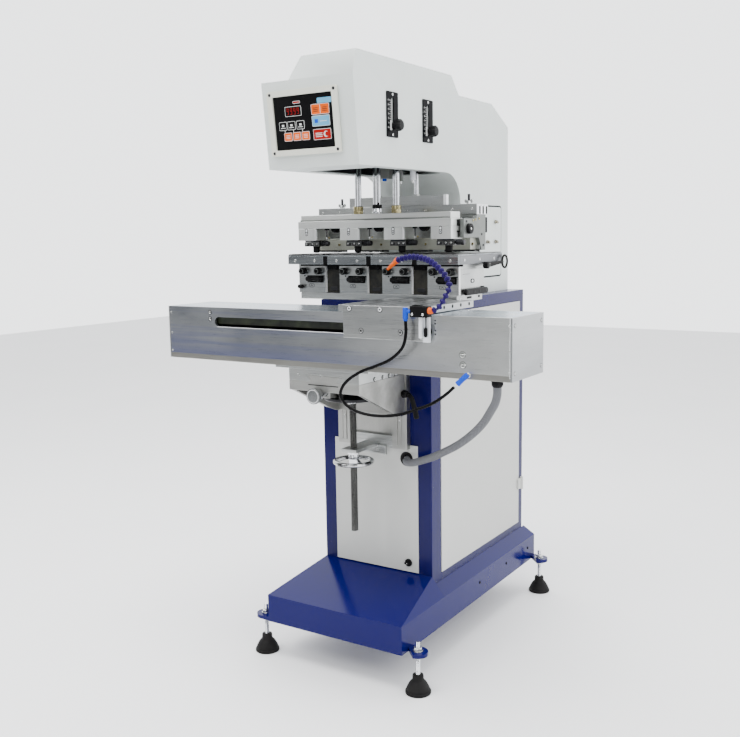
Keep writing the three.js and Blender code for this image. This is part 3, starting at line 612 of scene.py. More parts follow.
# A pale matt finish for painted highlights on lit side faces.
PAINTED_HIGHLIGHT_MATT = coated("painted highlight, matt", (0.86, 0.87, 0.86), (0.80, 0.81, 0.80), (0.9, 0.9, 0.9), 0.4,
                   0.00002, 600)
TRAY_STEEL = brushed("plate tray steel", (0.34, 0.36, 0.37), (0.10, 0.11, 0.125), "x", 0.26)
BEIGE_METAL = brushed("ink plate", (0.50, 0.51, 0.44), (0.36, 0.37, 0.32), "x", 0.45, 0.35)
HOLDER_METAL = brushed("pad holder metal", (0.20, 0.205, 0.20), (0.07, 0.072, 0.07), "x", 0.36)
SATIN_METAL = brushed("grey cast and painted metal", (0.20, 0.21, 0.20), (0.13, 0.14, 0.13), "x",
                      0.42, 0.6)
DARK_STEEL = brushed("oiled dark steel", (0.045, 0.045, 0.048), (0.025, 0.025, 0.028), "x", 0.34,
                     0.85)
STEEL = brushed("ground steel", (0.42, 0.43, 0.44), (0.24, 0.25, 0.26), "x", 0.26)
THREAD_STEEL = brushed("turned leadscrew steel", (0.13, 0.13, 0.125), (0.035, 0.035, 0.034), "z",
                       0.26)
CHROME = polished("chrome plate", (0.74, 0.75, 0.77), (0.60, 0.61, 0.64), 0.07)
WING_METAL = polished("yellowed wing screws", (0.36, 0.33, 0.25), (0.10, 0.09, 0.07), 0.2, 120)
# The handwheel's near-black patches are painted dark reflections.
WHEEL_CHROME_DARK_REFLECTION = polished("handwheel chrome with painted dark reflections", (0.56, 0.57, 0.58), (0.015, 0.015, 0.016), 0.10, 42)
KNOB_ALUMINIUM = brushed("turned knob aluminium", (0.40, 0.41, 0.41), (0.20, 0.205, 0.21), "y", 0.3)
SADDLE_METAL = brushed("machined saddle", (0.40, 0.40, 0.385), (0.22, 0.22, 0.21), "x", 0.40, 0.9)
TRAY_SIDE = brushed("tray side", (0.22, 0.225, 0.235), (0.15, 0.155, 0.165), "y", 0.40)
ZINC = polished("zinc-plated screw", (0.66, 0.67, 0.66), (0.42, 0.43, 0.42), 0.20)
BRASS = polished("brass nut", (0.42, 0.37, 0.20), (0.27, 0.23, 0.12), 0.20)
BLACK_PLASTIC = moulded("black plastic", (0.0025, 0.0025, 0.003), (0.0045, 0.0045, 0.005), 0.42,
                        **DULL)
BLACK_GLOSS = smooth("black gloss plastic", (0.0020, 0.0020, 0.0024), (0.0035, 0.0035, 0.004),
                     0.14, 0.16)
PALE_BAR_X = brushed("pad bar metal lengthwise", (0.74, 0.75, 0.73), (0.58, 0.59, 0.575), "x", 0.38)
PALE_BAR_Z = brushed("pad block metal", (0.74, 0.75, 0.73), (0.56, 0.57, 0.56), "z", 0.40)
SCALE_BLACK = smooth("scale plate black", (0.0020, 0.0022, 0.0032), (0.0035, 0.0037, 0.005),
                     0.3, 0.03)
HOSE_BLACK = smooth("black hose", (0.0015, 0.0015, 0.0018), (0.0028, 0.0028, 0.003), 0.14, 0.07)
RUBBER = moulded("black rubber", (0.006, 0.006, 0.006), (0.014, 0.013, 0.013), 0.62, 700, 0.00006,
                 **DULL)
PAD_SILICONE = moulded("print pad silicone", (0.006, 0.006, 0.007), (0.012, 0.012, 0.013), 0.35,
                       **DULL)
BLUE_FITTING = clean("blue fitting", (0.010, 0.060, 0.50), (0.008, 0.050, 0.42), 0.30)
WHITE_FITTING = moulded("white fitting", (0.74, 0.76, 0.79), (0.62, 0.64, 0.68), 0.3, 900, 0.00001)
PURPLE = clean("purple gooseneck plastic", (0.016, 0.006, 0.085), (0.011, 0.004, 0.060), 0.33)
ORANGE = clean("orange plastic", (0.72, 0.105, 0.004), (0.62, 0.085, 0.003), 0.32)
RED_KEY = clean("red key", (0.32, 0.006, 0.006), (0.27, 0.005, 0.005), 0.3)
LIGHT_BLUE_KEY = clean("light blue key", (0.12, 0.36, 0.55), (0.10, 0.32, 0.50), 0.3)
PALE_PRINT = clean("pale print", (0.66, 0.67, 0.66), (0.60, 0.61, 0.60), 0.4)
INKED_STEEL = stained("etched plate with ink on it", (0.14, 0.14, 0.14), (0.006, 0.006, 0.006),
                      0.32)
INKY_BLACK = stained("ink-stained dark block", (0.024, 0.022, 0.016), (0.007, 0.007, 0.006), 0.5)
BRAID = braided("grey braided sleeve")
# A near-black material for painted shade in holes, slots, seams and hollows.
PAINTED_SHADE_BLACK = moulded("painted shade in hollows and seams", (0.006, 0.0065, 0.007), (0.010, 0.010, 0.010), 0.6, **DULL)
# The sheet behind the beam's slot is painted shade, mottled with the ink-stain pattern.
SLOT_SHADE_SHEET = stained("painted shade behind the slot", (0.035, 0.045, 0.022), (0.006, 0.007, 0.006), 0.6,
                 8)


def front_plate():
    """The beam's front with painted reflection: dark and bluish on the left and near its bottom,
    pale on the right, with long bluish streaks.
    """
    look = Look("aluminium front plate", **{"Metallic": 1.0})
    split = look.nodes.new("ShaderNodeSeparateXYZ")
    look.links.new(look.spot, split.inputs[0])
    lines = look.noise(1, 5, look.stretched((10, 900, 900)), 0.65)
    clouds = look.noise(1, 4, look.stretched((5, 8, 12)))
    streaks = look.noise(1, 3, look.stretched((1.2, 30, 42)))
    across = look.spread(split.outputs["X"], 0, 1, -0.10, 0.46)
    share = look.math("MULTIPLY_ADD", lines, 0.2, look.math("MULTIPLY", clouds, 0.8))
    share = look.spread(share, 0, 1, 0.36, 0.64)
    left = look.blended(share, (0.25, 0.262, 0.285), (0.37, 0.382, 0.40))
    right = look.blended(share, (0.53, 0.54, 0.53), (0.70, 0.71, 0.70))
    tone = look.blended(across, left, right)
    # Bluish streaks and a bluish band near the bottom, on the left only: painted reflection.
    blue_reflection = look.math("MULTIPLY", look.spread(streaks, 0, 0.75, 0.47, 0.62),
                       look.math("SUBTRACT", 1.0, across))
    low = look.spread(split.outputs["Z"], 0.85, 0, 0.868, 0.905)
    low = look.math("MULTIPLY", low, look.math("SUBTRACT", 1.0, across))
    blue_reflection = look.math("MAXIMUM", blue_reflection, low)
    look.paint(look.blended(blue_reflection, tone, (0.20, 0.215, 0.345)), look.spread(lines, 0.24, 0.36))
    look.bump(lines, 0.000006)
    return look.material


ALUMINIUM_FRONT = front_plate()

# ------------------------------------------------------------------ camera, light and floor

CAMERA_AT = (1387.5, -2354.75, 1180.2)
CAMERA_YAW, CAMERA_PITCH, CAMERA_ROLL = 32.631, 8.110, -0.908
CAMERA_LENS, CAMERA_SENSOR = 45.31, 36


def add_camera():
    """Stands where the photographer stood: right of the machine and a little above the beam."""
    yaw, pitch, roll = (math.radians(a) for a in (CAMERA_YAW, CAMERA_PITCH, CAMERA_ROLL))
    forward = Vector((-math.sin(yaw) * math.cos(pitch), math.cos(yaw) * math.cos(pitch),
                      -math.sin(pitch)))
    right = Vector((math.cos(yaw), math.sin(yaw), 0))
    up = right.cross(forward)
    side = right * math.cos(roll) + up * math.sin(roll)
    top = up * math.cos(roll) - right * math.sin(roll)
    data = bpy.data.cameras.new("photographer")
    data.sensor_width = CAMERA_SENSOR
    data.lens = CAMERA_LENS
    data.clip_end = 50
    camera = bpy.data.objects.new("photographer", data)
    bpy.context.scene.collection.objects.link(camera)
    turn = Matrix((side, top, -forward)).transposed().to_4x4()
    camera.matrix_world = Matrix.Translation(place(CAMERA_AT)) @ turn
    bpy.context.scene.camera = camera


def add_area(name, at, aim, size, watts, colour=(1, 1, 1)):
    data = bpy.data.lights.new(name, "AREA")
    data.shape = "RECTANGLE"
    data.size, data.size_y = size
    data.energy = watts
    data.color = colour
    lamp = bpy.data.objects.new(name, data)
    bpy.context.scene.collection.objects.link(lamp)
    lamp.location = at
    lamp.rotation_euler = (Vector(aim) - Vector(at)).to_track_quat("-Z", "Y").to_euler()


BACK_LIGHT, FRONT_LIGHT = 3.0, 0.58


def add_studio():
    """A white room, bright behind and above the machine and dim in front, with soft lights."""
    world = bpy.data.worlds.new("studio air")
    world.use_nodes = True
    nodes, links = world.node_tree.nodes, world.node_tree.links
    split = nodes.new("ShaderNodeSeparateXYZ")
    links.new(nodes.new("ShaderNodeTexCoord").outputs["Generated"], split.inputs[0])

    def ramp(value, start, end, low, high):
        node = nodes.new("ShaderNodeMapRange")
        node.interpolation_type = "SMOOTHSTEP"
        links.new(value, node.inputs["Value"])
        socket_set(node, {"From Min": start, "From Max": end, "To Min": low, "To Max": high})
        return node.outputs["Result"]

    def joined(operation, a, b):
        node = nodes.new("ShaderNodeMath")
        node.operation = operation
        links.new(a, node.inputs[0])
        links.new(b, node.inputs[1])
        return node.outputs[0]

    room = ramp(split.outputs["Y"], -0.50, 0.40, FRONT_LIGHT, BACK_LIGHT)
    window = joined("MULTIPLY", ramp(split.outputs["X"], -0.10, 0.02, 0, 1.8),
                    ramp(split.outputs["X"], 0.30, 0.42, 1, 0))
    window = joined("MULTIPLY", window, ramp(split.outputs["Y"], -0.6, -0.3, 1, 0))
    background = nodes["Background"]
    background.inputs["Color"].default_value = (0.97, 0.985, 1.0, 1)
    links.new(joined("ADD", room, window), background.inputs["Strength"])
    bpy.context.scene.world = world
    add_area("key light", (-1.9, -3.4, 3.6), (0, 0, 1.0), (1.6, 1.4), 70)
    add_area("side light", (3.4, -1.6, 2.6), (0, 0, 0.9), (1.8, 2.0), 60)
    add_area("top light", (-0.3, -0.9, 4.4), (0, 0, 0.8), (3.2, 2.6), 260)
    floor = bmesh.new()
    corners = ((-9, -2.35), (9, -2.35), (9, 9), (-9, 9))
    floor.faces.new([floor.verts.new((x, y, 0)) for x, y in corners])
    mesh = bpy.data.meshes.new("studio_floor")
    floor.to_mesh(mesh)
    floor.free()
    look = Look("studio floor paint", **{"Roughness": 0.7})
    look.paint(look.blended(look.noise(2, 2), (0.86, 0.86, 0.87), (0.90, 0.90, 0.90)))
    mesh.materials.append(look.material)
    obj = bpy.data.objects.new("studio_floor", mesh)
    bpy.context.scene.collection.objects.link(obj)


add_camera()
add_studio()

# ------------------------------------------------------------------ the two flexible lines

AIR_HOSE_ROUTE = [
    (280, -467, 984.6), (281, -468, 948), (272, -469, 917), (241, -471, 888), (202, -472, 870),
    (158, -473, 853), (121, -474, 831), (101, -474, 810), (95, -474, 790), (108, -474, 769),
    (138, -474, 754), (178, -473, 747), (222, -472, 748), (263, -470, 755), (303, -466, 769),
    (348, -458, 788), (380.8, -453.4, 811.4), (399.3, -451, 828.5),
]
CONDUIT_ROUTE = [
    (495, -420, 831.3), (495, -420, 816), (489, -417.5, 794), (473, -410, 770), (452, -398, 743),
    (425, -383, 717), (392, -365, 691), (352, -343, 664), (309, -320, 640), (265, -297, 617),
    (218, -272, 596), (173, -246, 578), (134, -214, 566), (112, -184, 563), (104, -155, 563),
]
AIR_HOSE_RADIUS = 3.8
CONDUIT_RADIUS = 9.6


def add_air_hose():
    line = smooth_path(AIR_HOSE_ROUTE, 170)
    hose = Piece("air_hose_tube").tube(line, AIR_HOSE_RADIUS, HOSE_BLACK, 20)
    hose = hose.done(None, "black_hose", ["air_hose"])
    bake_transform(hose)


def braid_relief(around, along):
    """The height of the braid's crossing strands, in millimetres."""
    across, down = BRAID_STRANDS * around, along / BRAID_PITCH
    one = math.sin(2 * math.pi * (across + down))
    two = math.sin(2 * math.pi * (across - down))
    return BRAID_DEPTH * max(one, two)


def add_conduit():
    line = smooth_path(CONDUIT_ROUTE, 330)
    sleeve = Piece("conduit_sleeve").tube(line, CONDUIT_RADIUS, BRAID, 56, braid_relief)
    sleeve = sleeve.done(None, "grey_braid", ["conduit"], smooth=80)
    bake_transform(sleeve)


add_air_hose()
add_conduit()

# ------------------------------------------------------------------ base, feet, column, doors

BASE_LUG_BOTTOM, BASE_LUG_TOP = 104, 114
FOOT_X, FOOT_FRONT, FOOT_REAR = 250, -370, 446
COLUMN_TOP = 1001


def add_base():
    base = Piece("base_weldment").cad("base_frame", SHADED_BASE_PAINT, 4.5, 4)
    base.done("frame", "blue_paint", ["base_frame"])
    marks = Piece("base_fasteners")
    for y in (60, 250, 420):
        for side in (1, -1):
            marks.flat_screw((side * 219.1, y, 150), side * X, BLACK_PLASTIC, 4.5, 1.8)
    marks.done("frame", "black_plastic")


def add_foot(end, side, x, y):
    """A rubber levelling foot with its threaded stem and two nuts."""
    foot = Piece(f"foot_{end}_{side}")
    foot.turned([
        (0, 0), (33, 0), (34, 1.2), (34, 6), (33.2, 7.4), (30.5, 8.4), (30.5, 13), (29, 17),
        (24, 26), (21.5, 30), (16.5, 34.5), (15, 38), (14.6, 47), (13.8, 50), (11, 51.5), (0, 51.5),
    ], (x, y, 0), Z, RUBBER, 56)
    foot.thread((x, y), 50, 140, 6, 0.55, 1.75, CHROME, 24)
    foot.nut((x, y, BASE_LUG_BOTTOM - GAP - 9.5), Z, ZINC, 11.5, 9.5)
    foot.nut((x, y, BASE_LUG_TOP + GAP + 1.6), Z, ZINC, 11.5, 9.5)
    foot.bar((x, y, BASE_LUG_TOP + GAP), (x, y, BASE_LUG_TOP + GAP + 1.6), 13, ZINC, 0.3)
    foot.done("frame", "black_rubber", [f"levelling_foot_{end}_{side}"])


def add_column():
    shell = Piece("column_sheet").cad("column_shell", BLUE_PAINT, 2.0, 3)
    shell.done("frame", "blue_paint", ["column_shell"])
    top = Piece("column_top_screws")
    for x in (-150, 150):
        for y in (120, 300, 440):
            top.screw((x, y, COLUMN_TOP), Z, ZINC, 4.5, 0.1)
    panel = Piece("front_access_panel").cad("front_panel", WHITE_PAINT, 0.9, 2)
    panel.done("frame", "white_paint", ["front_panel"])
    door = Piece("door_leaf").cad("door_right", WHITE_PAINT, 0.9, 2)
    door.done("door", "white_paint", ["door_right"])
    top.done("frame", "steel")


CONDUIT_HOLE = (104, -167, 563)
PANEL_LOCK = (107, -167.3, 263)


def add_grommet():
    """The black rubber ring that lines the conduit's hole in the front panel."""
    ring = Piece("conduit_grommet")
    ring.turned([
        (11.6, -5), (16.4, -5), (16.4, 0.4), (19.5, 0.6), (20.4, 1.8), (19.6, 3.2), (16.5, 4.0),
        (13.0, 3.4), (11.6, 2.0), (11.6, -5),
    ], CONDUIT_HOLE, -Y, RUBBER, 48)
    ring.done("frame", "black_rubber")


def add_panel_lock():
    lock = Piece("quarter_turn_lock")
    lock.turned([(0, -11), (7.8, -11), (7.8, 0.2), (11, 0.4), (11.2, 3), (10.4, 4.4), (0, 4.6)],
                PANEL_LOCK, -Y, BLACK_PLASTIC, 40)
    x, y, z = PANEL_LOCK
    lock.block((x - 9, y - 11.9, z - 2.4), (x + 9, y - 4.3, z + 2.4), BLACK_PLASTIC, 1.2, 3)
    lock.block((x - 1.2, y - 12.1, z - 1), (x + 1.2, y - 11.85, z + 1), PALE_PRINT, 0)
    lock.done("lock", "black_plastic", ["panel_lock"])


# ------------------------------------------------------------------ height adjustment

RAIL_TOP, RAIL_START, RAIL_BOTTOM = 985, 604, 592
RAIL_FRONT, RAIL_WEB = -183, -172
SCREW_AT = (0, -278)
WHEEL_Z, WHEEL_MEAN, WHEEL_TUBE = 568, 51, 6


def add_guide_rails():
    """The two upright rails, the web between them and the foot plate."""
    back, foot_back = COLUMN_FRONT - GAP, COLUMN_FRONT - 4.3
    rails = Piece("lift_guides")
    for side in (-1, 1):
        section = [(66, RAIL_FRONT), (83, RAIL_FRONT), (83, RAIL_FRONT + 2.5),
                   (86.5, RAIL_FRONT + 2.5),
                   (86.5, RAIL_FRONT), (97, RAIL_FRONT), (97, RAIL_FRONT + 1.5),
                   (99, RAIL_FRONT + 1.5),
                   (99, RAIL_FRONT), (114, RAIL_FRONT), (114, back), (66, back)]
        outline = [(side * x, y) for x, y in section][::side]
        rails.prism("z", outline, RAIL_START, RAIL_TOP, ALUMINIUM_Z, 0.35)
        low, high = mirrored(side, 66, 114)
        rails.block((low, RAIL_FRONT, RAIL_BOTTOM), (high, foot_back, RAIL_START), ALUMINIUM_Z, 0.5)
        for z in (672, 760, 940):
            rails.screw((side * 91.5, RAIL_FRONT - 0.1, z), -Y, ZINC, 3.6, 0.5)
    rails.block((-66.5, RAIL_WEB, RAIL_START), (66.5, back, RAIL_TOP), ALUMINIUM_Z, 0.3)
    rails.block((-66.5, RAIL_FRONT, RAIL_BOTTOM), (66.5, foot_back, 628), ALUMINIUM_X, 0.6)
    rails.done("frame", "aluminium", ["guide_rails"])


def add_nut_bracket():
    bracket = Piece("leadscrew_bracket").cad("nut_bracket", ALUMINIUM_X, 0.9, 2)
    for x in (22, -12):
        bracket.screw((x, -192.3, 587.5), -Y, ZINC, 4.2, 3)
    bracket.done("frame", "aluminium", ["nut_bracket"])


def add_handwheel():
    x, y = SCREW_AT
    wheel = Piece("chrome_handwheel")
    wheel.torus((x, y, WHEEL_Z), Z, WHEEL_MEAN, WHEEL_TUBE, WHEEL_CHROME_DARK_REFLECTION, 96, 22)
    hub = [
        (10.4, -7), (12.2, -7), (13, -6), (13, 3), (14.5, 5.5), (14.5, 15), (13.2, 17), (12.6, 19),
        (15.4, 20.5), (16, 21.5), (16, 26.7), (15.2, 27.5), (10.4, 27.5), (10.4, -7),
    ]
    wheel.turned(hub, (x, y, WHEEL_Z), Z, CHROME, 56)
    for degrees in (90, 210, 330):
        angle = math.radians(degrees)
        out = Vector((math.cos(angle), math.sin(angle), 0))
        centre = Vector((x, y, WHEEL_Z))
        line = smooth_path([centre + out * 11 + Z * 10, centre + out * 24 + Z * 8.5,
                            centre + out * 38 + Z * 3.5, centre + out * 49 + Z * 0.5], 18)
        wheel.tube(line, 4.2, WHEEL_CHROME_DARK_REFLECTION, 20, lambda around,
                   along: 0.8 * abs(along - 20) / 20 - 0.6)
    wheel.done("wheel", "chrome", ["handwheel"])


def add_leadscrew():
    """The vertical screw with its collar, its flange and the black thrust block."""
    x, y = SCREW_AT
    screw = Piece("leadscrew_assembly")
    screw.thread((x, y), 372, 747, 10, 1.3, 4.0, THREAD_STEEL, 32)
    screw.turned([(0, 0), (13.4, 0), (14.6, 1.2), (14.6, 13.5), (13.6, 14.6), (0, 14.6)],
                 (x, y, 730), Z, CHROME, 48)
    screw.turned([(0, 0), (77.5, 0), (79, 1.4), (79, 7), (77.8, 8.3), (0, 8.3)],
                 (x, y, 744), Z, DARK_STEEL, 96)
    screw.bar((x, y, 752), (x, y, 769), 24, BLACK_PLASTIC, 1.2, 56)
    screw.block((x - 40, y - 40, 768), (x + 40, y + 40, 779.7), BLACK_PLASTIC, 1.5, 3)
    for dx in (-31, 31):
        for dy in (-31, 31):
            screw.screw((x + dx, y + dy, 768), -Z, ZINC, 4.6, 4.4)
    for degrees in (20, 110, 200, 290):
        across, back = disc_spot(math.radians(degrees), 33)
        screw.screw((x + across, y + back, 744), -Z, ZINC, 4.2, 3.6)
    screw.done("lift", "steel", ["leadscrew"])


def add_saddle():
    saddle = Piece("saddle_casting").cad("saddle_bracket", SADDLE_METAL, 1.1, 3)
    for side in (-1, 1):
        for y in (-340, -300, -268, -236):
            saddle.screw((side * 111, y, 812), side * X, ZINC, 4.2, 3)
            # A dark disc of painted shade under each screw head.
            saddle.turned([(6.0, 0), (6.0, 0.3), (4.6, 0.5), (0, 0.5)], (side * 111, y, 812),
                          side * X, PAINTED_SHADE_BLACK, 24)
        for z in (712, 765):
            saddle.screw((side * 60, -195.3, z), -Y, ZINC, 4.2, 4)
    saddle.done("lift", "aluminium", ["saddle_bracket"])
    # A thin strip of painted shade in the gib slot.
    slot = Piece("saddle_gib_slot")
    slot.block((-48.7, -413.25, 796.0), (46.1, -412.6, 798.4), PAINTED_SHADE_BLACK, 0.1)
    slot.done("lift", "aluminium")


def add_clamp_lever():
    y, z = -197, 752
    lever = Piece("clamp_lever_grip")
    lever.turned([(0, 0), (10, 0), (10.5, 1), (10.5, 9), (9.6, 11), (8.6, 14.5), (5, 15.4),
                  (0, 15.6)],
                 (111.3, y, z), X, BLACK_PLASTIC, 40)
    arm = smooth_path([(122, y, z), (131, y, z - 3), (138, y, z - 10), (143, y + 1, z - 26),
                       (148, y + 1.5, z - 44), (151.5, y + 2, z - 62)], 26)
    lever.tube(arm, 6.2, BLACK_PLASTIC, 24, lambda around, along: 0.018 * along)
    lever.turned([(7.4, 0), (7.0, 2.6), (5.2, 4.6), (0, 5.4)], arm[-1], arm[-1] - arm[-2],
                 BLACK_PLASTIC, 32)
    lever.screw((126.8, y, z), X, ZINC, 3.6, 1.0)
    lever.done("clamp", "black_plastic", ["clamp_lever"])


# ------------------------------------------------------------------ cross slide and shuttle beam

BEAM_LEFT, BEAM_RIGHT, BEAM_FRONT, BEAM_BACK = -516, 541, -438, -256
BEAM_BOTTOM, BEAM_TOP, LIP_TOP = 847, 993, 861.5
SLOT_LEFT, SLOT_RIGHT, SLOT_BOTTOM, SLOT_TOP = -342, 335, 941, 967
END_SCREW = 0.9
CARRIAGE_FRONT = -449


def add_cross_slide():
    slide = Piece("cross_slide_block").cad("cross_slide", ALUMINIUM_X, 0.8, 2)
    for x in (-80, -9.3, 62):
        slide.screw((x, -413, 822), -Y, ZINC, 4.2, 0.8)
    slide.done("cross", "aluminium", ["cross_slide"])


def add_cross_knob():
    x, z = -18, 771
    knob = Piece("knurled_knob")
    knurl = ridges(60, 0.035)
    knob.turned([
        (0, 0), (19.4, 0), (20.6, 0.9), (21, 2, knurl), (21, 8.2, knurl), (20.2, 9.2), (16.5, 9.6),
        (16.5, 12), (18.5, 12.6), (19, 13.4), (19, 19.5), (18, 20.6), (0, 20.6),
    ], (x, -436.6, z), Y, KNOB_ALUMINIUM, 240)
    knob.bar((x, -416, z), (x, -325, z), 7, STEEL, 1)
    # A painted highlight ring round the knob's face.
    knob.torus((x, -436.4, z), Y, 17.2, 0.7, PAINTED_HIGHLIGHT_METAL, 64, 8)
    knob.done("cross_knob", "aluminium", ["cross_knob"])


def add_beam():
    left, right, front, back = BEAM_LEFT, BEAM_RIGHT, BEAM_FRONT, BEAM_BACK
    cap = 6
    reach = (SLOT_TOP - SLOT_BOTTOM) / 2 - 0.1
    beam = Piece("beam_plates")
    face = [(left + cap, LIP_TOP), (right - cap, LIP_TOP), (right - cap, BEAM_TOP),
            (left + cap, BEAM_TOP)]
    slot = rounded(SLOT_LEFT, SLOT_RIGHT, SLOT_BOTTOM, SLOT_TOP, reach)
    beam.prism("y", face, front, front + 8, ALUMINIUM_FRONT, 0.5, 2, holes=[slot])
    beam.block((left + cap, back - 8, LIP_TOP), (right - cap, back, BEAM_TOP), ALUMINIUM_X, 0.5)
    beam.block((left + cap, front + 8.2, BEAM_TOP - 8), (right - cap, back - 8.2, BEAM_TOP),
               TOP_PLATE_BLUE_REFLECTION, 0.4)
    beam.block((left + cap, front, BEAM_BOTTOM), (right - cap, back, LIP_TOP - 0.3), LIP_METAL, 0.8)
    for x0, x1 in ((left + END_SCREW, left + cap - 0.3), (right - cap + 0.3, right - END_SCREW)):
        beam.block((x0, front, BEAM_BOTTOM), (x1, back, BEAM_TOP), ALUMINIUM_Y, 0.8)
    beam.done("cross", "aluminium", ["beam_housing"])


def add_beam_fasteners():
    """Every screw on the beam's outside, some with rings of painted shade, a painted highlight down
    the right end and painted shade in the left end's seam.
    """
    left, right, front, back = BEAM_LEFT, BEAM_RIGHT, BEAM_FRONT, BEAM_BACK
    fasteners = Piece("beam_fasteners")
    for x, z in ((416, 880), (415, 904)):
        fasteners.shade_ring(9.0, (x, front, z), -Y, SATIN_METAL, 36)
        fasteners.turned([(0, 0), (7.2, 0), (7.2, 0.5), (5.0, 0.9), (4.6, 0.9), (4.2, 0.2),
                          (0, 0.2)],
                         (x, front, z), -Y, ZINC, 36)
        fasteners.bar((x - 4, front - 0.9, z), (x + 9, front - 0.9, z + 1), 0.9, ZINC, 0.2, 12)
    for z in (961, 979):
        fasteners.shade_ring(6.4, (SLOT_LEFT - 17, front, z), -Y, DARK_STEEL, 36)
        fasteners.turned([(0, 0), (4.4, 0), (4.4, 0.5), (3.0, 0.95), (2.2, 0.2), (0, 0.2)],
                         (SLOT_LEFT - 17, front, z), -Y, ZINC, 32)
    # A painted highlight down the right end's edge and a line of painted shade in the left end's
    # seam.
    fasteners.block((right - 7.5, front - 0.4, BEAM_BOTTOM + 8),
                    (right - 6.2, front + 0.2, BEAM_TOP - 1), PAINTED_HIGHLIGHT_METAL, 0)
    fasteners.block((left + 5.9, front - 0.2, BEAM_BOTTOM + 1),
                    (left + 6.4, front + 0.2, BEAM_TOP - 1), PAINTED_SHADE_BLACK, 0)
    for z in (981, 973.8, 957.2, 948.7):
        fasteners.flat_screw((344, front, z), -Y, DARK_STEEL, 2.2, 1.2)
    for x in (-505, 532):
        for z in (868, 917, 975):
            fasteners.screw((x, front + 0.1, z), -Y, ZINC, 2.8, 0.8)
    for x in (-400, -150, 100, 350):
        for y in (front + 18, back - 18):
            fasteners.screw((x, y, BEAM_TOP - 0.1), Z, ZINC, 3.4, 0.8)
            fasteners.screw((x, y, BEAM_BOTTOM + 0.1), -Z, ZINC, 3.4, 0.8)
    for y in (front + 14, back - 14):
        for z in (866, 975):
            fasteners.shade_ring(5.4, (right - END_SCREW, y, z), X, DARK_STEEL, 24)
            fasteners.screw((right - END_SCREW, y, z), X, ZINC, 3.8, END_SCREW)
            fasteners.screw((left + END_SCREW, y, z), -X, ZINC, 3.8, END_SCREW)
    fasteners.done("cross", "steel")


def add_slot_highlight_and_shade():
    """A painted highlight on the lip of the beam's slot and the sheets of painted shade behind it.
    """
    left, right, front, back = BEAM_LEFT, BEAM_RIGHT, BEAM_FRONT, BEAM_BACK
    lip = Piece("slot_lip_highlight")
    lip.block((SLOT_LEFT + 8, front - 0.5, SLOT_BOTTOM - 1.7),
              (SLOT_RIGHT - 8, front + 0.1, SLOT_BOTTOM - 0.2), PAINTED_HIGHLIGHT_METAL, 0.2)
    lip.done("cross", "aluminium")
    dark = Piece("beam_inner_shade")
    for y0, y1, z0, z1, look in (
        (front + 14, front + 16, SLOT_BOTTOM + 6, SLOT_TOP + 6, SLOT_SHADE_SHEET),
        (front + 8.3, front + 9.2, LIP_TOP + 0.2, SLOT_BOTTOM - 1, PAINTED_SHADE_BLACK),
        (front + 9.4, back - 8.4, LIP_TOP + 0.2, LIP_TOP + 1.2, PAINTED_SHADE_BLACK),
        (back - 9.6, back - 8.4, LIP_TOP + 1.4, BEAM_TOP - 8.4, PAINTED_SHADE_BLACK),
        (front + 9.4, back - 9.8, BEAM_TOP - 9.6, BEAM_TOP - 8.4, PAINTED_SHADE_BLACK),
    ):
        dark.block((left + 8, y0, z0), (right - 8, y1, z1), look, 0)
    dark.done("cross", "steel")


def add_cylinder():
    low, high = node_box("rodless_cylinder")
    cylinder = Piece("rodless_cylinder_tube").cad("rodless_cylinder", DARK_STEEL, 0.6, 2)
    for x0 in (low.x, high.x - 34):
        cylinder.block((x0 + 0.2, low.y - 5, low.z - 6), (x0 + 34, high.y + 5, high.z + 6),
                       BLACK_PLASTIC, 1)
    cylinder.done("cross", "steel", ["rodless_cylinder"])


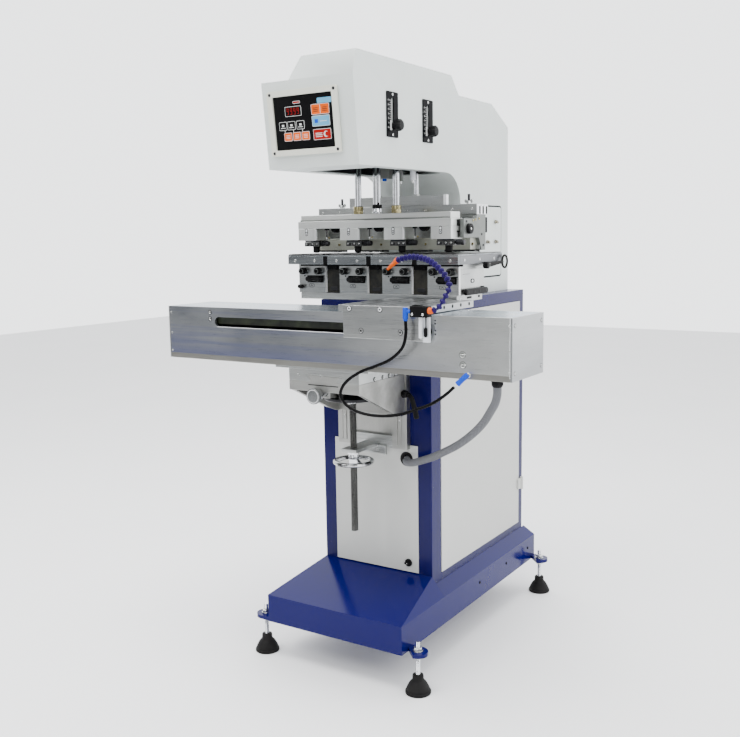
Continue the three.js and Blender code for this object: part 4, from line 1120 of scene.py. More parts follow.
def add_carriage():
    """The plate that slides along the beam's front, the jig table on top and the hidden neck."""
    left, right, front, table_left = 90, 323, CARRIAGE_FRONT, 70
    table_top, table_bottom, back = 1012, 995, -194
    plate_back = BEAM_FRONT - 1.5
    shuttle = Piece("shuttle_plates")
    shuttle.block((left, front, 931), (right, plate_back, table_top), ALUMINIUM_X, 0.9, 3)
    shuttle.block((table_left, plate_back + 0.1, table_bottom), (right, back, table_top),
                  ALUMINIUM_Y, 0.7)
    shuttle.block((150, plate_back - 1, 943), (260, -300, 965), STEEL, 0.5)
    shuttle.block((140, -350, 931), (270, -300, 965), DARK_STEEL, 0.8)
    # Each front screw sits in a ring of painted shade; the upper heads are painted highlights and
    # the hex recesses painted shade.
    for x, z in ((109, 1003.5), (198, 1003.5), (143, 950), (255, 950)):
        shuttle.turned([(7.2, 0.05), (7.0, 0.3), (0, 0.32)], (x, front, z), -Y,
                       PAINTED_SHADE_BLACK if z > 1000 else DARK_STEEL, 32)
        shuttle.turned([(5.2, 0.3), (5.2, 0.9), (4.8, 1.2), (2.9, 1.2), (0, 1.2)], (x, front, z),
                       -Y, PAINTED_HIGHLIGHT_METAL if z > 1000 else ZINC, 32)
        shuttle.turned([(2.8, 1.1, hexagon), (2.8, 1.3, hexagon), (0, 1.3)], (x, front, z), -Y,
                       PAINTED_SHADE_BLACK, 24)
    # Dark holes of painted shade on the table's right side and top.
    for y in (-354, -310, -265.5, -219):
        shuttle.turned([(4.6, 0.15), (4.2, 0.3), (3.9, -2.5), (0, -2.5)], (right, y, 1005), X,
                       PAINTED_SHADE_BLACK, 24)
    for x in (96, 166, 236, 297):
        for y in (-232, -300, -368):
            shuttle.turned([(5.0, 0.1), (4.4, 0.2), (4.1, -2.5), (0, -2.5)], (x, y, table_top), Z,
                           PAINTED_SHADE_BLACK, 24)
    shuttle.done("shuttle", "aluminium", ["carriage"])
    # The tee grooves are dark strips on the table top: painted shade.
    groove = Piece("table_tee_grooves")
    for x in (131, 201, 271):
        groove.block((x - 4, -432, table_top - 0.05), (x + 4, -198, table_top + 0.12), DARK_STEEL,
                     0)
    groove.done("shuttle", "aluminium")


def add_blow_valve():
    """The valve on the carriage with its blue hose fitting and its white body."""
    back = CARRIAGE_FRONT - GAP
    nozzle_x, nozzle_y = AIR_HOSE_ROUTE[0][:2]
    valve = Piece("blow_off_valve")
    valve.block((294, -472, 990), (341, back, 1016), BLACK_PLASTIC, 1.6, 3)
    valve.block((298, -468, 1016), (320, back - 3, 1018.4), BLACK_GLOSS, 0.8)
    for x in (300.5, 329):
        valve.flat_screw((x, -472, 997), -Y, ZINC, 3.2, 1.4)
    valve.turned([(0, 0), (5.8, 0), (6.5, 1), (6.5, 19), (6.1, 20), (6.3, 21.5), (6.3, 26),
                  (5.4, 27), (0, 27)],
                 (nozzle_x, nozzle_y, 985), Z, BLUE_FITTING, 40)
    valve.turned([(0, -0.1), (4.9, 0), (5.1, 1), (5.1, 3.5), (4.6, 4.2), (0, 4.2)],
                 (nozzle_x, nozzle_y, 984.8), -Z, BLUE_FITTING, 40)
    valve.bar((nozzle_x, nozzle_y, 1003), (nozzle_x + 15, nozzle_y, 1003), 4.5, BLUE_FITTING, 0.4,
              32)
    valve.bar((316.5, -458, 940), (316.5, -458, 990.5), 5.5, WHITE_FITTING, 1.2, 36)
    valve.bar((316.5, -458, 936), (316.5, -458, 942), 3.4, ZINC, 0.5, 28)
    for z in (968, 986):
        valve.flat_screw((308, CARRIAGE_FRONT, z), -Y, BRASS, 2.6, 3)
    valve.block((320, -455.5, 930), (338, back, 991), WHITE_FITTING, 0.8)
    valve.bar((330.5, -460.5, 943), (330.5, -460.5, 966), 4.4, BLACK_PLASTIC, 2.6, 32)
    valve.bar((330.5, -459, 965), (330.5, -459, 991), 1.5, BLACK_GLOSS, 0.3, 16)
    valve.done("shuttle", "black_plastic", ["blow_valve"])


GOOSENECK_ROUTE = [
    (342, -466, 1006), (353, -466, 1006.6), (365, -463, 1013), (374, -458, 1027), (380, -454, 1040),
    (386, -450, 1054), (384, -444, 1069), (372, -437, 1084), (354, -428, 1098), (334, -418, 1110),
    (314, -408, 1119), (288, -395, 1125), (253, -382, 1128), (222, -370, 1125), (196, -361, 1119),
]
GOOSENECK_TIP = (161, -350, 1096)
GOOSENECK_SEGMENT = 14.2


def add_gooseneck():
    """Ball-and-socket segments from an orange base collar to an orange nozzle."""
    line = smooth_path(GOOSENECK_ROUTE, 400)
    neck = Piece("gooseneck_segments")
    travelled, last = 0.0, 0.0
    for a, b in zip(line, line[1:]):
        travelled += (b - a).length
        if travelled - last < GOOSENECK_SEGMENT:
            continue
        last = travelled
        neck.turned([
            (0, -8.2), (3.0, -8.0), (3.4, -5.4), (3.2, -4.4), (5.2, -3.8), (7.2, -2.0), (7.9, 0.2),
            (7.0, 2.4), (5.0, 4.2), (3.2, 5.0), (3.0, 6.2), (0, 6.4),
        ], b, b - a, PURPLE, 28)
    neck.turned([(0, 0), (6.6, 0), (7.6, 1), (7.6, 8.4), (6.8, 9.6), (5.6, 10.6), (4.6, 13),
                 (0, 13)],
                line[0] - X * 0.6, X, ORANGE, 36)
    end, tip = line[-1], Vector(GOOSENECK_TIP)
    reach = (tip - end).length
    neck.turned([
        (0, -4), (7.0, -3.6), (7.6, -2.4), (7.6, 4), (7.0, 6), (5.6, 10), (4.7, reach * 0.55),
        (3.3, reach - 1), (2.9, reach), (1.7, reach), (1.5, reach - 5), (0, reach - 5),
    ], end, tip - end, ORANGE, 36)
    neck.done("shuttle", "purple_plastic", ["gooseneck"])


def add_fittings():
    gland = Piece("conduit_gland_nut")
    gland.turned([
        (0, -15.4), (10.6, -15.4), (11.6, -14.6), (12.6, -12), (13.4, -10.4), (15, -10, hexagon),
        (15, -2.4, hexagon), (14, -2), (15.4, -1.8), (15.4, -0.3), (0, -0.3),
    ], (*CONDUIT_ROUTE[0][:2], BEAM_BOTTOM - 0.1), Z, BLACK_PLASTIC, 48)
    gland.done("lift", "black_plastic", ["conduit_gland"])
    base = Vector((430, BEAM_FRONT - 9, 857))
    mouth = Vector(AIR_HOSE_ROUTE[-1])
    along = mouth - base
    fitting = Piece("push_in_elbow")
    fitting.turned([(0, -0.2), (6.6, -0.2), (6.6, 1.8, hexagon), (5, 2.2), (5, 9), (0, 9)],
                   (430, BEAM_FRONT - 0.2, 857), -Y, ZINC, 36)
    fitting.turned([(0, -5), (5.6, -4.2), (6.6, -2), (6.6, 10), (6.0, 11.5), (6.2, 13), (6.6, 24),
                    (7.0, 26), (7.0, 30), (0, 30)], base, along, BLUE_FITTING, 40)
    fitting.turned([(0, 0), (6.2, 0), (6.4, 1), (5.8, 4), (0, 4.4)], base + along.normalized() * 30,
                   along, WHITE_FITTING, 40)
    fitting.done("cross", "blue_fitting", ["hose_fitting"])


add_base()
for foot_end, foot_y in (("front", FOOT_FRONT), ("rear", FOOT_REAR)):
    for foot_side, foot_x in (("left", -FOOT_X), ("right", FOOT_X)):
        add_foot(foot_end, foot_side, foot_x, foot_y)
add_column()
add_grommet()
add_panel_lock()
add_guide_rails()
add_nut_bracket()
add_handwheel()
add_leadscrew()
add_saddle()
add_clamp_lever()
add_cross_slide()
add_cross_knob()
add_beam()
add_beam_fasteners()
add_slot_highlight_and_shade()
add_cylinder()
add_carriage()
add_blow_valve()
add_gooseneck()
add_fittings()

# ------------------------------------------------------------------ printing bed and plates

FOUR = (-1.5, -0.5, 0.5, 1.5)
PITCH, BLOCK_PITCH = 145, 143
STATIONS = [PITCH * n for n in FOUR]
BED_HALF, BED_FRONT, BED_BACK, BED_TOP = 256, -156, -4, 1101.7
BED_CENTRES = [BLOCK_PITCH * n for n in FOUR]
BLOCK_HALF = 47
SCREW_Z, ROLLER_Z = 1082, 1059


def add_bed():
    front, back = BED_FRONT, BED_BACK
    bed = Piece("bed_blocks")
    bed.block((-BED_HALF, front, 1001.3), (BED_HALF, back, 1019.2), ALUMINIUM_X, 0.8)
    for centre in BED_CENTRES:
        left, right = centre - BLOCK_HALF, centre + BLOCK_HALF
        pocket = [(centre - 18, 1049), (centre + 40, 1049), (centre + 40, 1069),
                  (centre - 18, 1069)]
        face = [(left, 1019.5), (right, 1019.5), (right, BED_TOP), (left, BED_TOP)]
        bed.prism("y", face, front, front + 3, ALUMINIUM_X, 0.5, 2, holes=[pocket])
        bed.block((left, front + 3.1, 1019.5), (right, back, BED_TOP), ALUMINIUM_X, 0.5)
        # Painted shade at the back of each pocket and a painted highlight down each block's right
        # side.
        bed.block((centre - 18, front + 2.6, 1049), (centre + 40, front + 3.3, 1069), PAINTED_SHADE_BLACK, 0)
        bed.block((right - 0.5, front + 0.8, 1020.5), (right + 0.3, front + 9.5, BED_TOP - 6),
                  PAINTED_HIGHLIGHT_MATT, 0)
    bed.done("frame", "aluminium", ["printing_bed"])


def add_bed_guards():
    """Dark guards between the blocks and a dark strip along the top of their front."""
    front = BED_FRONT
    dark = Piece("bed_dark_guards")
    for a, b in zip(BED_CENTRES, BED_CENTRES[1:]):
        x0, x1 = a + BLOCK_HALF + 0.6, b - BLOCK_HALF - 0.6
        dark.block((x0, front + 9, 1020), (x1, BED_BACK - 1, BED_TOP - 0.5), INKY_BLACK, 0.8)
        dark.block((x0 + 2, front + 5.5, 1086), (x1 - 1, front + 9.2, 1099), BLACK_PLASTIC, 1)
        dark.bar((x1 - 15, front + 2, 1092), (x1 - 15, front + 9, 1092), 6.5, BLACK_PLASTIC, 1, 24)
        dark.block(((x0 + x1) / 2 - 12, front + 7.8, 1026), ((x0 + x1) / 2 + 12, front + 9.2, 1037),
                   DARK_STEEL, 1)
    dark.block((-BED_HALF + 1, front - 0.5, BED_TOP - 5.5), (272, front + 6, BED_TOP - 0.2),
               BLACK_PLASTIC, 0.5)
    dark.done("frame", "black_plastic")


def add_bed_details():
    """Small screws, engraved marks and the fittings on the bed's two ends."""
    front = BED_FRONT
    small = Piece("bed_small_screws")
    for centre in BED_CENTRES:
        for dx in (-19, 34):
            small.screw((centre + dx, front, SCREW_Z), -Y, ZINC, 3.1, 1.8)
        for dx in (-26, 42):
            small.screw((centre + dx, front, 1068), -Y, DARK_STEEL, 2.2, 1.0)
        oval = rounded(centre - 12, centre + 8, 1034.5, 1045.5, 5.4, 8)
        inner = rounded(centre - 10.8, centre + 6.8, 1035.7, 1044.3, 4.2, 8)
        small.prism("y", oval, front - 0.15, front + 0.1, DARK_STEEL, 0, holes=[inner])
        for turn in (-1, 1):
            small.bar((centre - 2 - 5 * turn, front - 0.1, 1037.6),
                      (centre - 2 + 2 * turn, front - 0.1, 1042.4), 0.6, DARK_STEEL, 0.1, 12)
    for y, size in ((-84, 13), (-24, 4.5)):
        for side in (1, -1):
            low, high = mirrored(side, BED_HALF - 0.5, BED_HALF + 1.2)
            small.block((low, y - size, 1008), (high, y + size, 1014), BLACK_PLASTIC, 0.5)
    # On the bed's right end: a screw head in painted highlight, and a dark rounded mark of painted
    # shade with a painted highlight in it.
    small.screw((BED_HALF, -136, 1010), X, PAINTED_HIGHLIGHT_METAL, 3.0, 1.2)
    side = BED_CENTRES[3] + BLOCK_HALF
    small.prism("x", rounded(-87, -63, 1050, 1061, 5.4, 8), side - 0.1, side + 0.2, PAINTED_SHADE_BLACK, 0)
    small.prism("x", rounded(-80, -70, 1052.5, 1058.5, 2.9, 8), side - 0.1, side + 0.4, PAINTED_HIGHLIGHT_METAL,
                0)
    small.block((side - 0.1, -134, 1074.4), (side + 0.12, -92, 1075.4), DARK_STEEL, 0)
    small.block((side - 0.1, -150, 1088), (side + 0.12, -8, 1088.7), SATIN_METAL, 0)
    small.bar((-258, -165, 1037), (-244, -165, 1037), 6, BLACK_PLASTIC, 1.2, 28)
    small.bar((-250, -165, 1037), (-250, front + 2, 1037), 4, BLACK_PLASTIC, 0.5, 20)
    small.done("frame", "steel")


def add_register_parts(number, centre):
    """A station's two knurled screws and the roller between them."""
    front = BED_FRONT - GAP
    knurl = ridges(36, 0.05)
    for side, dx in (("left", -27), ("right", 27)):
        knob = Piece(f"register_knob_{number}_{side}")
        knob.turned([
            (0, 0), (6, 0), (6, 2), (9.4, 2.4), (10, 3.4, knurl), (10, 15.6, knurl), (9.2, 17.2),
            (6.4, 18), (5.2, 18), (4.6, 15.4), (2.2, 14.6), (0, 14.6),
        ], (centre + dx, front, SCREW_Z), -Y, BLACK_PLASTIC, 144)
        knob.torus((centre + dx, front - 17.7, SCREW_Z), Y, 6.6, 0.45, SATIN_METAL, 40, 8)
        knob.done(f"screw_{number}_{side}", "black_plastic", [f"register_screw_{number}_{side}"])
    roller = Piece(f"register_roller_body_{number}")
    roller.turned([
        (0, 0), (5.5, 0), (6.2, 0.7), (6.2, 5), (7.4, 5.6), (8, 7, knurl), (8, 20, knurl),
        (6.6, 21),
        (6.6, 33), (8, 34, knurl), (8, 47, knurl), (7.4, 48.4), (6.2, 49), (6.2, 53.3), (5.5, 54),
        (0, 54), ], (centre - 16, BED_FRONT - 6.5, ROLLER_Z), X, BLACK_PLASTIC, 144)
    roller.done(f"roller_{number}", "black_plastic", [f"register_roller_{number}"])


def add_tray():
    """The tray that carries the four plates, with its separators."""
    low, high = node_box("plate_tray")
    tray = Piece("plate_tray_bars")
    edges = [low.x, -PITCH, 0, PITCH, high.x]
    gap = 7.5
    for i, (a, b) in enumerate(zip(edges, edges[1:])):
        x0 = a + (gap if i else 0)
        x1 = b - (gap if i < 3 else 0)
        tray.block((x0, low.y, low.z), (x1, low.y + 12, high.z - 3.6), TRAY_STEEL, 0.8, 3)
    tray.block((low.x, low.y, high.z - 3.3), (high.x, high.y, high.z), TRAY_STEEL, 0.5)
    tray.block((low.x, low.y + 12.2, low.z), (high.x, high.y, high.z - 3.6), TRAY_SIDE, 0.8)
    for x in STATIONS:
        for dx in (-34, 35):
            tray.screw((x + dx, low.y + 0.1, 1112), -Y, ZINC, 4.2, 0.9)
    for y in (-150, -60, 30):
        for x, side in ((high.x - 0.1, 1), (low.x + 0.1, -1)):
            tray.screw((x, y, 1113), side * X, ZINC, 3.8, 0.8)
    tray.done("frame", "aluminium", ["plate_tray"])
    strips = Piece("tray_separators")
    for x in (-PITCH, 0, PITCH):
        strips.block((x - gap + 0.4, low.y + 1.2, low.z + 0.3),
                     (x + gap - 0.4, low.y + 11.8, high.z - 4), BLACK_PLASTIC, 0.6)
        strips.block((x - 2.6, low.y + 6, high.z), (x + 2.6, high.y - 6, high.z + 1.6), DARK_STEEL,
                     0.4)
    strips.done("frame", "black_plastic")


def add_plate(number, x):
    low, high = node_box(f"cliche_plate_{number}")
    plate = Piece(f"etched_plate_{number}")
    plate.block(low, high, INKED_STEEL, 0.35)
    lip = 5.5
    for x0, x1 in ((low.x - lip, low.x - 0.3), (high.x + 0.3, high.x + lip)):
        if x1 < 275:
            plate.block((x0, low.y + 8, low.z), (x1, high.y, high.z + 0.4), BLACK_PLASTIC, 0.3)
    plate.block((x - 46, low.y + 0.5, high.z), (x + 46, low.y + 9, high.z + 1.3), BLACK_PLASTIC,
                0.4)
    plate.done("frame", "steel", [f"cliche_plate_{number}"])


PLATE_LOCK_PIVOT = (276.3, -33, 1096)
BED_LOCK_Y, BED_LOCK_Z = -16, 1028


def add_levers():
    pivot_x, y, z = PLATE_LOCK_PIVOT
    x = pivot_x + 8
    lock = Piece("plate_lock_grip")
    lock.turned([(0, 0), (9, 0), (9.4, 0.8), (9.4, 12.6), (8.4, 13.8), (0, 14)],
                PLATE_LOCK_PIVOT, X, BLACK_PLASTIC, 40)
    arm = smooth_path([(x, y, z), (x, -5, 1097.2), (x, 30, 1099.6), (x, 67, 1102)], 20)
    lock.tube(arm, 5.2, RUBBER, 20, lambda around, along: 0.9 * math.cos(along / 100 * math.pi))
    lock.torus((x, 83, 1103), X, 17, 3, RUBBER, 64, 18)
    lock.torus((x + 9.2, y, z), X, 5, 0.5, SATIN_METAL, 32, 8)
    lock.done("plate_lock", "black_plastic", ["plate_lock_lever"])
    grip = Piece("bed_lock_grip")
    face = BED_CENTRES[3] + BLOCK_HALF + GAP
    grip.disc(11, 4.2, (face, BED_LOCK_Y, BED_LOCK_Z), X, BLACK_PLASTIC, 48)
    outline = rounded(-138, -5, 1019, 1036, 8, 8)
    grip.prism("x", outline, face + 4, face + 14, BLACK_PLASTIC, 2.0, 3)
    for y in (-128, -92, -60):
        grip.turned([(0, 0), (6.5, 0), (6.5, 1.6), (4.8, 2.4), (0, 2.4)], (face + 11.8, y, 1027.5),
                    X, BLACK_PLASTIC, 24)
    grip.screw((face + 13, BED_LOCK_Y, BED_LOCK_Z), X, DARK_STEEL, 4.2, 1.2)
    grip.done("bed_lock", "black_plastic", ["bed_lever"])


# ------------------------------------------------------------------ pads, pad bar and ink frame

BAR_HALF, BAR_FRONT, BAR_BACK, BAR_BOTTOM, BAR_TOP, BAR_CAP = 248, -173, -108, 1169, 1223, 1240


def add_pad_bar():
    front, back = BAR_FRONT, BAR_BACK
    bar = Piece("pad_carrier_bar")
    bar.block((-BAR_HALF, front, 1202.4), (BAR_HALF, back, BAR_TOP), PALE_BAR_X, 0.8, 3)
    for x in STATIONS:
        bar.block((x - 30, front, BAR_BOTTOM), (x + 30, back, 1202), PALE_BAR_Z, 0.7, 3)
    bar.block((-243, front + 8, BAR_TOP + 0.2), (243, back - 4, BAR_CAP), PALE_BAR_X, 1.0, 3)
    bar.block((-243, front + 4, BAR_TOP), (243, front + 7.4, BAR_TOP + 4), SATIN_METAL, 0.5)
    # Each station's dark rounded mark has painted highlights in it, and each block has a painted
    # highlight down its right side.
    for x in STATIONS:
        bar.prism("y", rounded(x - 5.5, x + 3.5, 1182, 1203, 3.6, 6), front - 0.15, front + 0.2,
                  DARK_STEEL, 0)
        for low, high in ((1184.2, 1191.5), (1193.5, 1200.8)):
            bar.prism("y", rounded(x - 3.6, x + 1.6, low, high, 2.2, 6), front - 0.3, front + 0.2,
                      PAINTED_HIGHLIGHT_METAL, 0)
        bar.prism("y", disc_outline(x - 1, 1187.8, 2.0, 20), front - 0.4, front + 0.2, DARK_STEEL,
                  0)
        bar.block((x + 29.2, front + 0.9, BAR_BOTTOM + 0.6), (x + 30.2, front + 8, 1201.8),
                  PAINTED_HIGHLIGHT_MATT, 0)
    for x in (-200, -110, 110, 200):
        bar.screw((x, -140, BAR_CAP - 0.1), Z, ZINC, 4.0, 0.5)
    # On each end: dark marks of painted shade and two strips of painted highlight.
    for side in (-1, 1):
        for y0, y1, z0, z1 in ((-141, -125, 1203, 1219), (-140, -126, 1186, 1190),
                               (-135, -131, 1172, 1187)):
            low, high = mirrored(side, BAR_HALF, BAR_HALF + 0.8)
            bar.block((low, y0, z0), (high, y1, z1), PAINTED_SHADE_BLACK, 0)
        for y in (front + 5, back - 5):
            low, high = mirrored(side, BAR_HALF, BAR_HALF + 0.25)
            bar.block((low, y - 2.4, BAR_BOTTOM + 2), (high, y + 2.4, BAR_TOP - 2), PAINTED_HIGHLIGHT_MATT, 0)
    bar.done("pad_lift", "aluminium", ["pad_bar"])


def add_pad_bar_studs():
    studs = Piece("pad_bar_tee_studs")
    for n in (-1, 0, 1):
        studs.turned([(0, 0), (5, 0), (5, 3), (11.6, 3.4), (12.8, 4.8, ridges(14, 0.05)),
                      (12.8, 20, ridges(14, 0.05)),
                      (11.6, 22), (0, 22.3)], (n * PITCH, -117.5, 1203), -Y, BLACK_PLASTIC, 84)
        x = n * PITCH - 17
        studs.bar((x, -152, 1174), (x, -152, 1202.5), 1.8, DARK_STEEL, 0.3, 16)
        studs.block((x - 6, -155, 1198), (x + 6, -149, 1202.3), BLACK_PLASTIC, 0.6)
        studs.bar((x, -152, 1172), (x, -152, 1178), 3.4, ZINC, 0.6, 20)
        studs.bar((x + 12, -160, 1176), (x + 12, -157, 1176), 2.6, BRASS, 0.3, 16)
    studs.done("pad_lift", "steel")


def add_pad(number, x):
    """A station's pad with its holder, screws and side knob."""
    half, front, back, under = 25.5, -150, -104, BAR_BOTTOM - GAP
    pad = Piece(f"silicone_pad_{number}")
    pad.block((x - half, front, 1152), (x + half, back, under - 4.5), HOLDER_METAL, 0.7, 2)
    for x0, x1 in ((x - half + 2, x - 8), (x - 4, x + 8), (x + 12, x + half - 2)):
        pad.block((x0, front - 0.4, 1153.5), (x1, front + 1, 1162.5), DARK_STEEL, 0.8)
        pad.block((x0 + 1.5, front - 0.6, 1160.6), (x1 - 1.5, front + 0.5, 1162), HOLDER_METAL, 0.2)
    pad.block((x - half + 1, front + 1, under - 4.2), (x + half - 1, back - 1, under), DARK_STEEL,
              0.4)
    for dx in (-18, 3, 18):
        pad.screw((x + dx, front, 1159), -Y, ZINC, 3.0, 1.6)
    knurl = ridges(40, 0.045)
    pad.turned([(0, 0), (4, 0), (4, 3.4), (6.4, 3.8), (7, 4.6, knurl), (7, 13, knurl), (6, 14),
                (6, 16), (7, 17, knurl), (7, 26.6, knurl), (6.2, 27.6), (0, 27.6)],
               (x + half - 0.6, front + 12, 1160), X, DARK_STEEL, 160)
    pad.turned([
        (0, 0), (4.6, 0.25), (7.4, 1.0), (9.0, 2.2), (9.8, 4.0), (10, 6.4), (10, 10), (10, 14.4),
        (10.4, 14.8), (10.6, 16.2), (10.6, 19), (0, 19),
    ], (x, (front + back) / 2, 1133), Z, PAD_SILICONE, 48)
    pad.done("pad_lift", "black_rubber", [f"print_pad_{number}"])


def wing(piece, at, span, height, look):
    """A wing nut: its body and two thick ears."""
    x, y, z = at
    piece.turned([(0, 0), (7.4, 0), (7.2, 4), (5.6, 8.5), (0, 8.5)], at, Z, look, 28)
    ear = ((1, 1), (span * 0.55, 1.2), (span, height * 0.35), (span, height * 0.75),
           (span * 0.8, height), (span * 0.55, height * 0.9), (3.0, 8))
    for side in (-1, 1):
        outline = [(x + side * u, z + v) for u, v in ear]
        piece.prism("y", outline[::side], y - 2.6, y + 2.6, look, 1.2, 2)


INK_HALF, INK_FRONT, INK_BACK, INK_BOTTOM, INK_TOP = 262, -50, 20, 1233, 1262


def ink_frame_side(frame_bar, side):
    """The side arm of the ink frame with its star knob, slots and screws."""
    half, front, back, bottom, top = INK_HALF, INK_FRONT, INK_BACK, INK_BOTTOM, INK_TOP
    low, high = -127, 5
    arm = [(low, 1171), (-36, 1171), (-20, 1137), (2, 1137), (high, 1172), (high, bottom - 0.2),
           (-48, bottom - 0.2), (-52, 1222), (low, 1222)]
    start, end = mirrored(side, 250.6, half)
    frame_bar.prism("x", arm, start, end, SATIN_METAL, 0.8, 2)
    # The arm's outer side face is covered with a painted highlight.
    near, far = mirrored(side, half - 0.3, half + 0.2)
    frame_bar.prism("x", [(front + 2, bottom + 1), (back - 1, bottom + 1), (back - 1, top - 1),
                          (front + 2, top - 1)],
                    near, far, PAINTED_HIGHLIGHT_METAL, 0)
    frame_bar.turned([(0, 0), (10, 0), (14, 1.2), (14.2, 3, ridges(10, 0.05)),
                      (14.2, 7.4, ridges(10, 0.05)),
                      (12.8, 9.6), (6.5, 10), (5.6, 8.2), (0, 8.2)], (side * half, -100, 1195),
                     side * X, BLACK_PLASTIC, 80)
    frame_bar.turned([(3.4, 0), (3.4, 0.7), (2.6, 0.9), (0, 0.9)],
                     (side * (half + 8.2), -100, 1195), side * X, ZINC, 28)
    # The slots and holes in the side are painted shade.
    for y in (-31.4, -10.8, 10.5):
        tall = rounded(y - 5, y + 5, 1234.5, 1256, 2.6, 5)
        near, far = mirrored(side, half - 0.2, half + 0.25)
        frame_bar.prism("x", tall, near, far, PAINTED_SHADE_BLACK, 0)
    for y in (-24, -5):
        frame_bar.turned([(1.8, 0.1), (1.6, 0.25), (0, 0.2)], (side * half, y, 1258), side * X,
                         PAINTED_SHADE_BLACK, 16)
    for y, z in ((-112, 1214), (-20, 1180), (-10, 1150), (-72, 1217), (-58, 1219), (-36, 1222)):
        frame_bar.screw((side * half, y, z), side * X, BRASS if z > 1215 else DARK_STEEL, 3.4, 1.4)
    frame_bar.screw((side * 250.3, -56, 1153), side * X, DARK_STEEL, 4, 1.4)
    strip = rounded(12, 17, 1184, 1226, 2.2, 5)
    near, far = mirrored(side, half - 9, half - 0.6)
    frame_bar.prism("x", strip, near, far, DARK_STEEL, 0.4)


def add_ink_frame():
    half, front, back, bottom, top = INK_HALF, INK_FRONT, INK_BACK, INK_BOTTOM, INK_TOP
    frame_bar = Piece("ink_frame_bar")
    frame_bar.block((-half, front, bottom), (half, back, top), ALUMINIUM_X, 0.9, 3)
    frame_bar.block((-161, -34, top + 0.1), (161, -22, 1290), ALUMINIUM_X, 0.8)
    # A painted highlight on the right end of the upright plate.
    frame_bar.block((152, -34.3, top + 0.3), (161.2, -21.7, 1290.2), PAINTED_HIGHLIGHT_METAL, 0.4)
    frame_bar.block((-250.5, -66, 1139), (250.5, -6, 1171), BEIGE_METAL, 0.8)
    for x in STATIONS:
        for dx in (-52, 40):
            frame_bar.screw((x + dx, -66, 1155), -Y, BRASS, 3.4, 3)
    frame_bar.block((-250.5, -42, 1171.1), (250.5, -36, bottom - 0.1), ALUMINIUM_X, 0.4)
    for side in (-1, 1):
        ink_frame_side(frame_bar, side)
    for x in (-212, 212):
        frame_bar.bar((x, 3, top - 1), (x, 3, 1290.8), 3.6, DARK_STEEL, 0.8, 20)
        frame_bar.disc(9.5, 1.6, (x, 3, top), Z, ZINC, 32)
        wing(frame_bar, (x, 3, top + 1.8), 13, 13, ZINC)
    for x in STATIONS:
        frame_bar.block((x - 46, -34, 1133), (x + 46, -32.8, 1152), STEEL, 0.2)
        frame_bar.block((x - 46, -66.2, 1134), (x + 46, -60, 1139), DARK_STEEL, 0.4)
        for dx in (-30, 30):
            frame_bar.screw((x + dx, front, 1248), -Y, ZINC, 3.8, 0.8)
    frame_bar.done("ink_slide", "aluminium", ["ink_crossbar"])


def add_ink_rods():
    """The two rods that carry the ink frame, and the dark slide in the head above them."""
    rods = Piece("ink_frame_rods")
    for x in (-63, 63):
        rods.bar((x, -28, 1290.3), (x, -28, 1385), 6, CHROME, 0.6, 32)
        rods.turned([(0, 0), (9.5, 0), (9.5, 3), (8, 4), (0, 4)], (x, -28, 1290.2), Z, ZINC, 32)
    rods.block((-90, -165, 1380), (90, 10, 1420), DARK_STEEL, 1.2, 2)
    for x, radius in ((-62, 17), (0, 20), (62, 17)):
        rods.turned([(radius - 4, 0), (radius, 0.6), (radius, 9), (radius - 4, 10)],
                    (x, -138, 1380), -Z, DARK_STEEL, 48)
    for x in (-80, 80):
        for y in (-150, -5):
            rods.screw((x, y, 1380), -Z, ZINC, 4.2, 3.6)
    rods.done("ink_slide", "chrome")


def add_rods():
    y, start, yoke = -138, BAR_CAP + GAP, 1440
    rods = Piece("print_rods")
    for x in (-62, 62):
        rods.bar((x, y, start), (x, y, yoke + 1), 9, CHROME, 0.6, 48)
        rods.nut((x, y, start), Z, BRASS, 15, 9.5)
        rods.turned([(9.2, 0), (13.4, 0), (13.8, 0.8), (13.8, 10.4), (12.6, 11.8), (9.2, 11.8)],
                    (x, y, start + 9.7), Z, BRASS, 48)
    rods.bar((0, y, start), (0, y, yoke + 1), 11, CHROME, 0.6, 56)
    rods.turned([(11.2, 0), (15.8, 0), (16.4, 0.8), (16.4, 3.4), (14.6, 4.4), (14, 5),
                 (14, 13, hexagon), (13, 14), (11.2, 14)], (0, y, start), Z, CHROME, 48)
    rods.turned([(11.2, 14.2), (13.2, 14.4), (13.2, 24), (12.2, 25), (11.2, 25)], (0, y, start), Z,
                BLACK_PLASTIC, 48)
    rods.bar((8, y - 8, start + 24), (14, y - 14, start + 28), 2.6, BLACK_PLASTIC, 0.4, 16)
    rods.block((-82, y - 18, yoke), (82, y + 18, yoke + 20), DARK_STEEL, 1.2, 2)
    rods.done("pad_lift", "chrome", ["rod_yoke"])


# ------------------------------------------------------------------ head

HEAD_HALF, HEAD_UNDER, HEAD_SHOULDER = 138, 1353, 1563
SCALE_PLACES = (("front", -283), ("rear", -99))
SCALE_MARKS, SCALE_STEP, SCALE_START = 13, 5.6, 1449
KNOB_Z = 1455


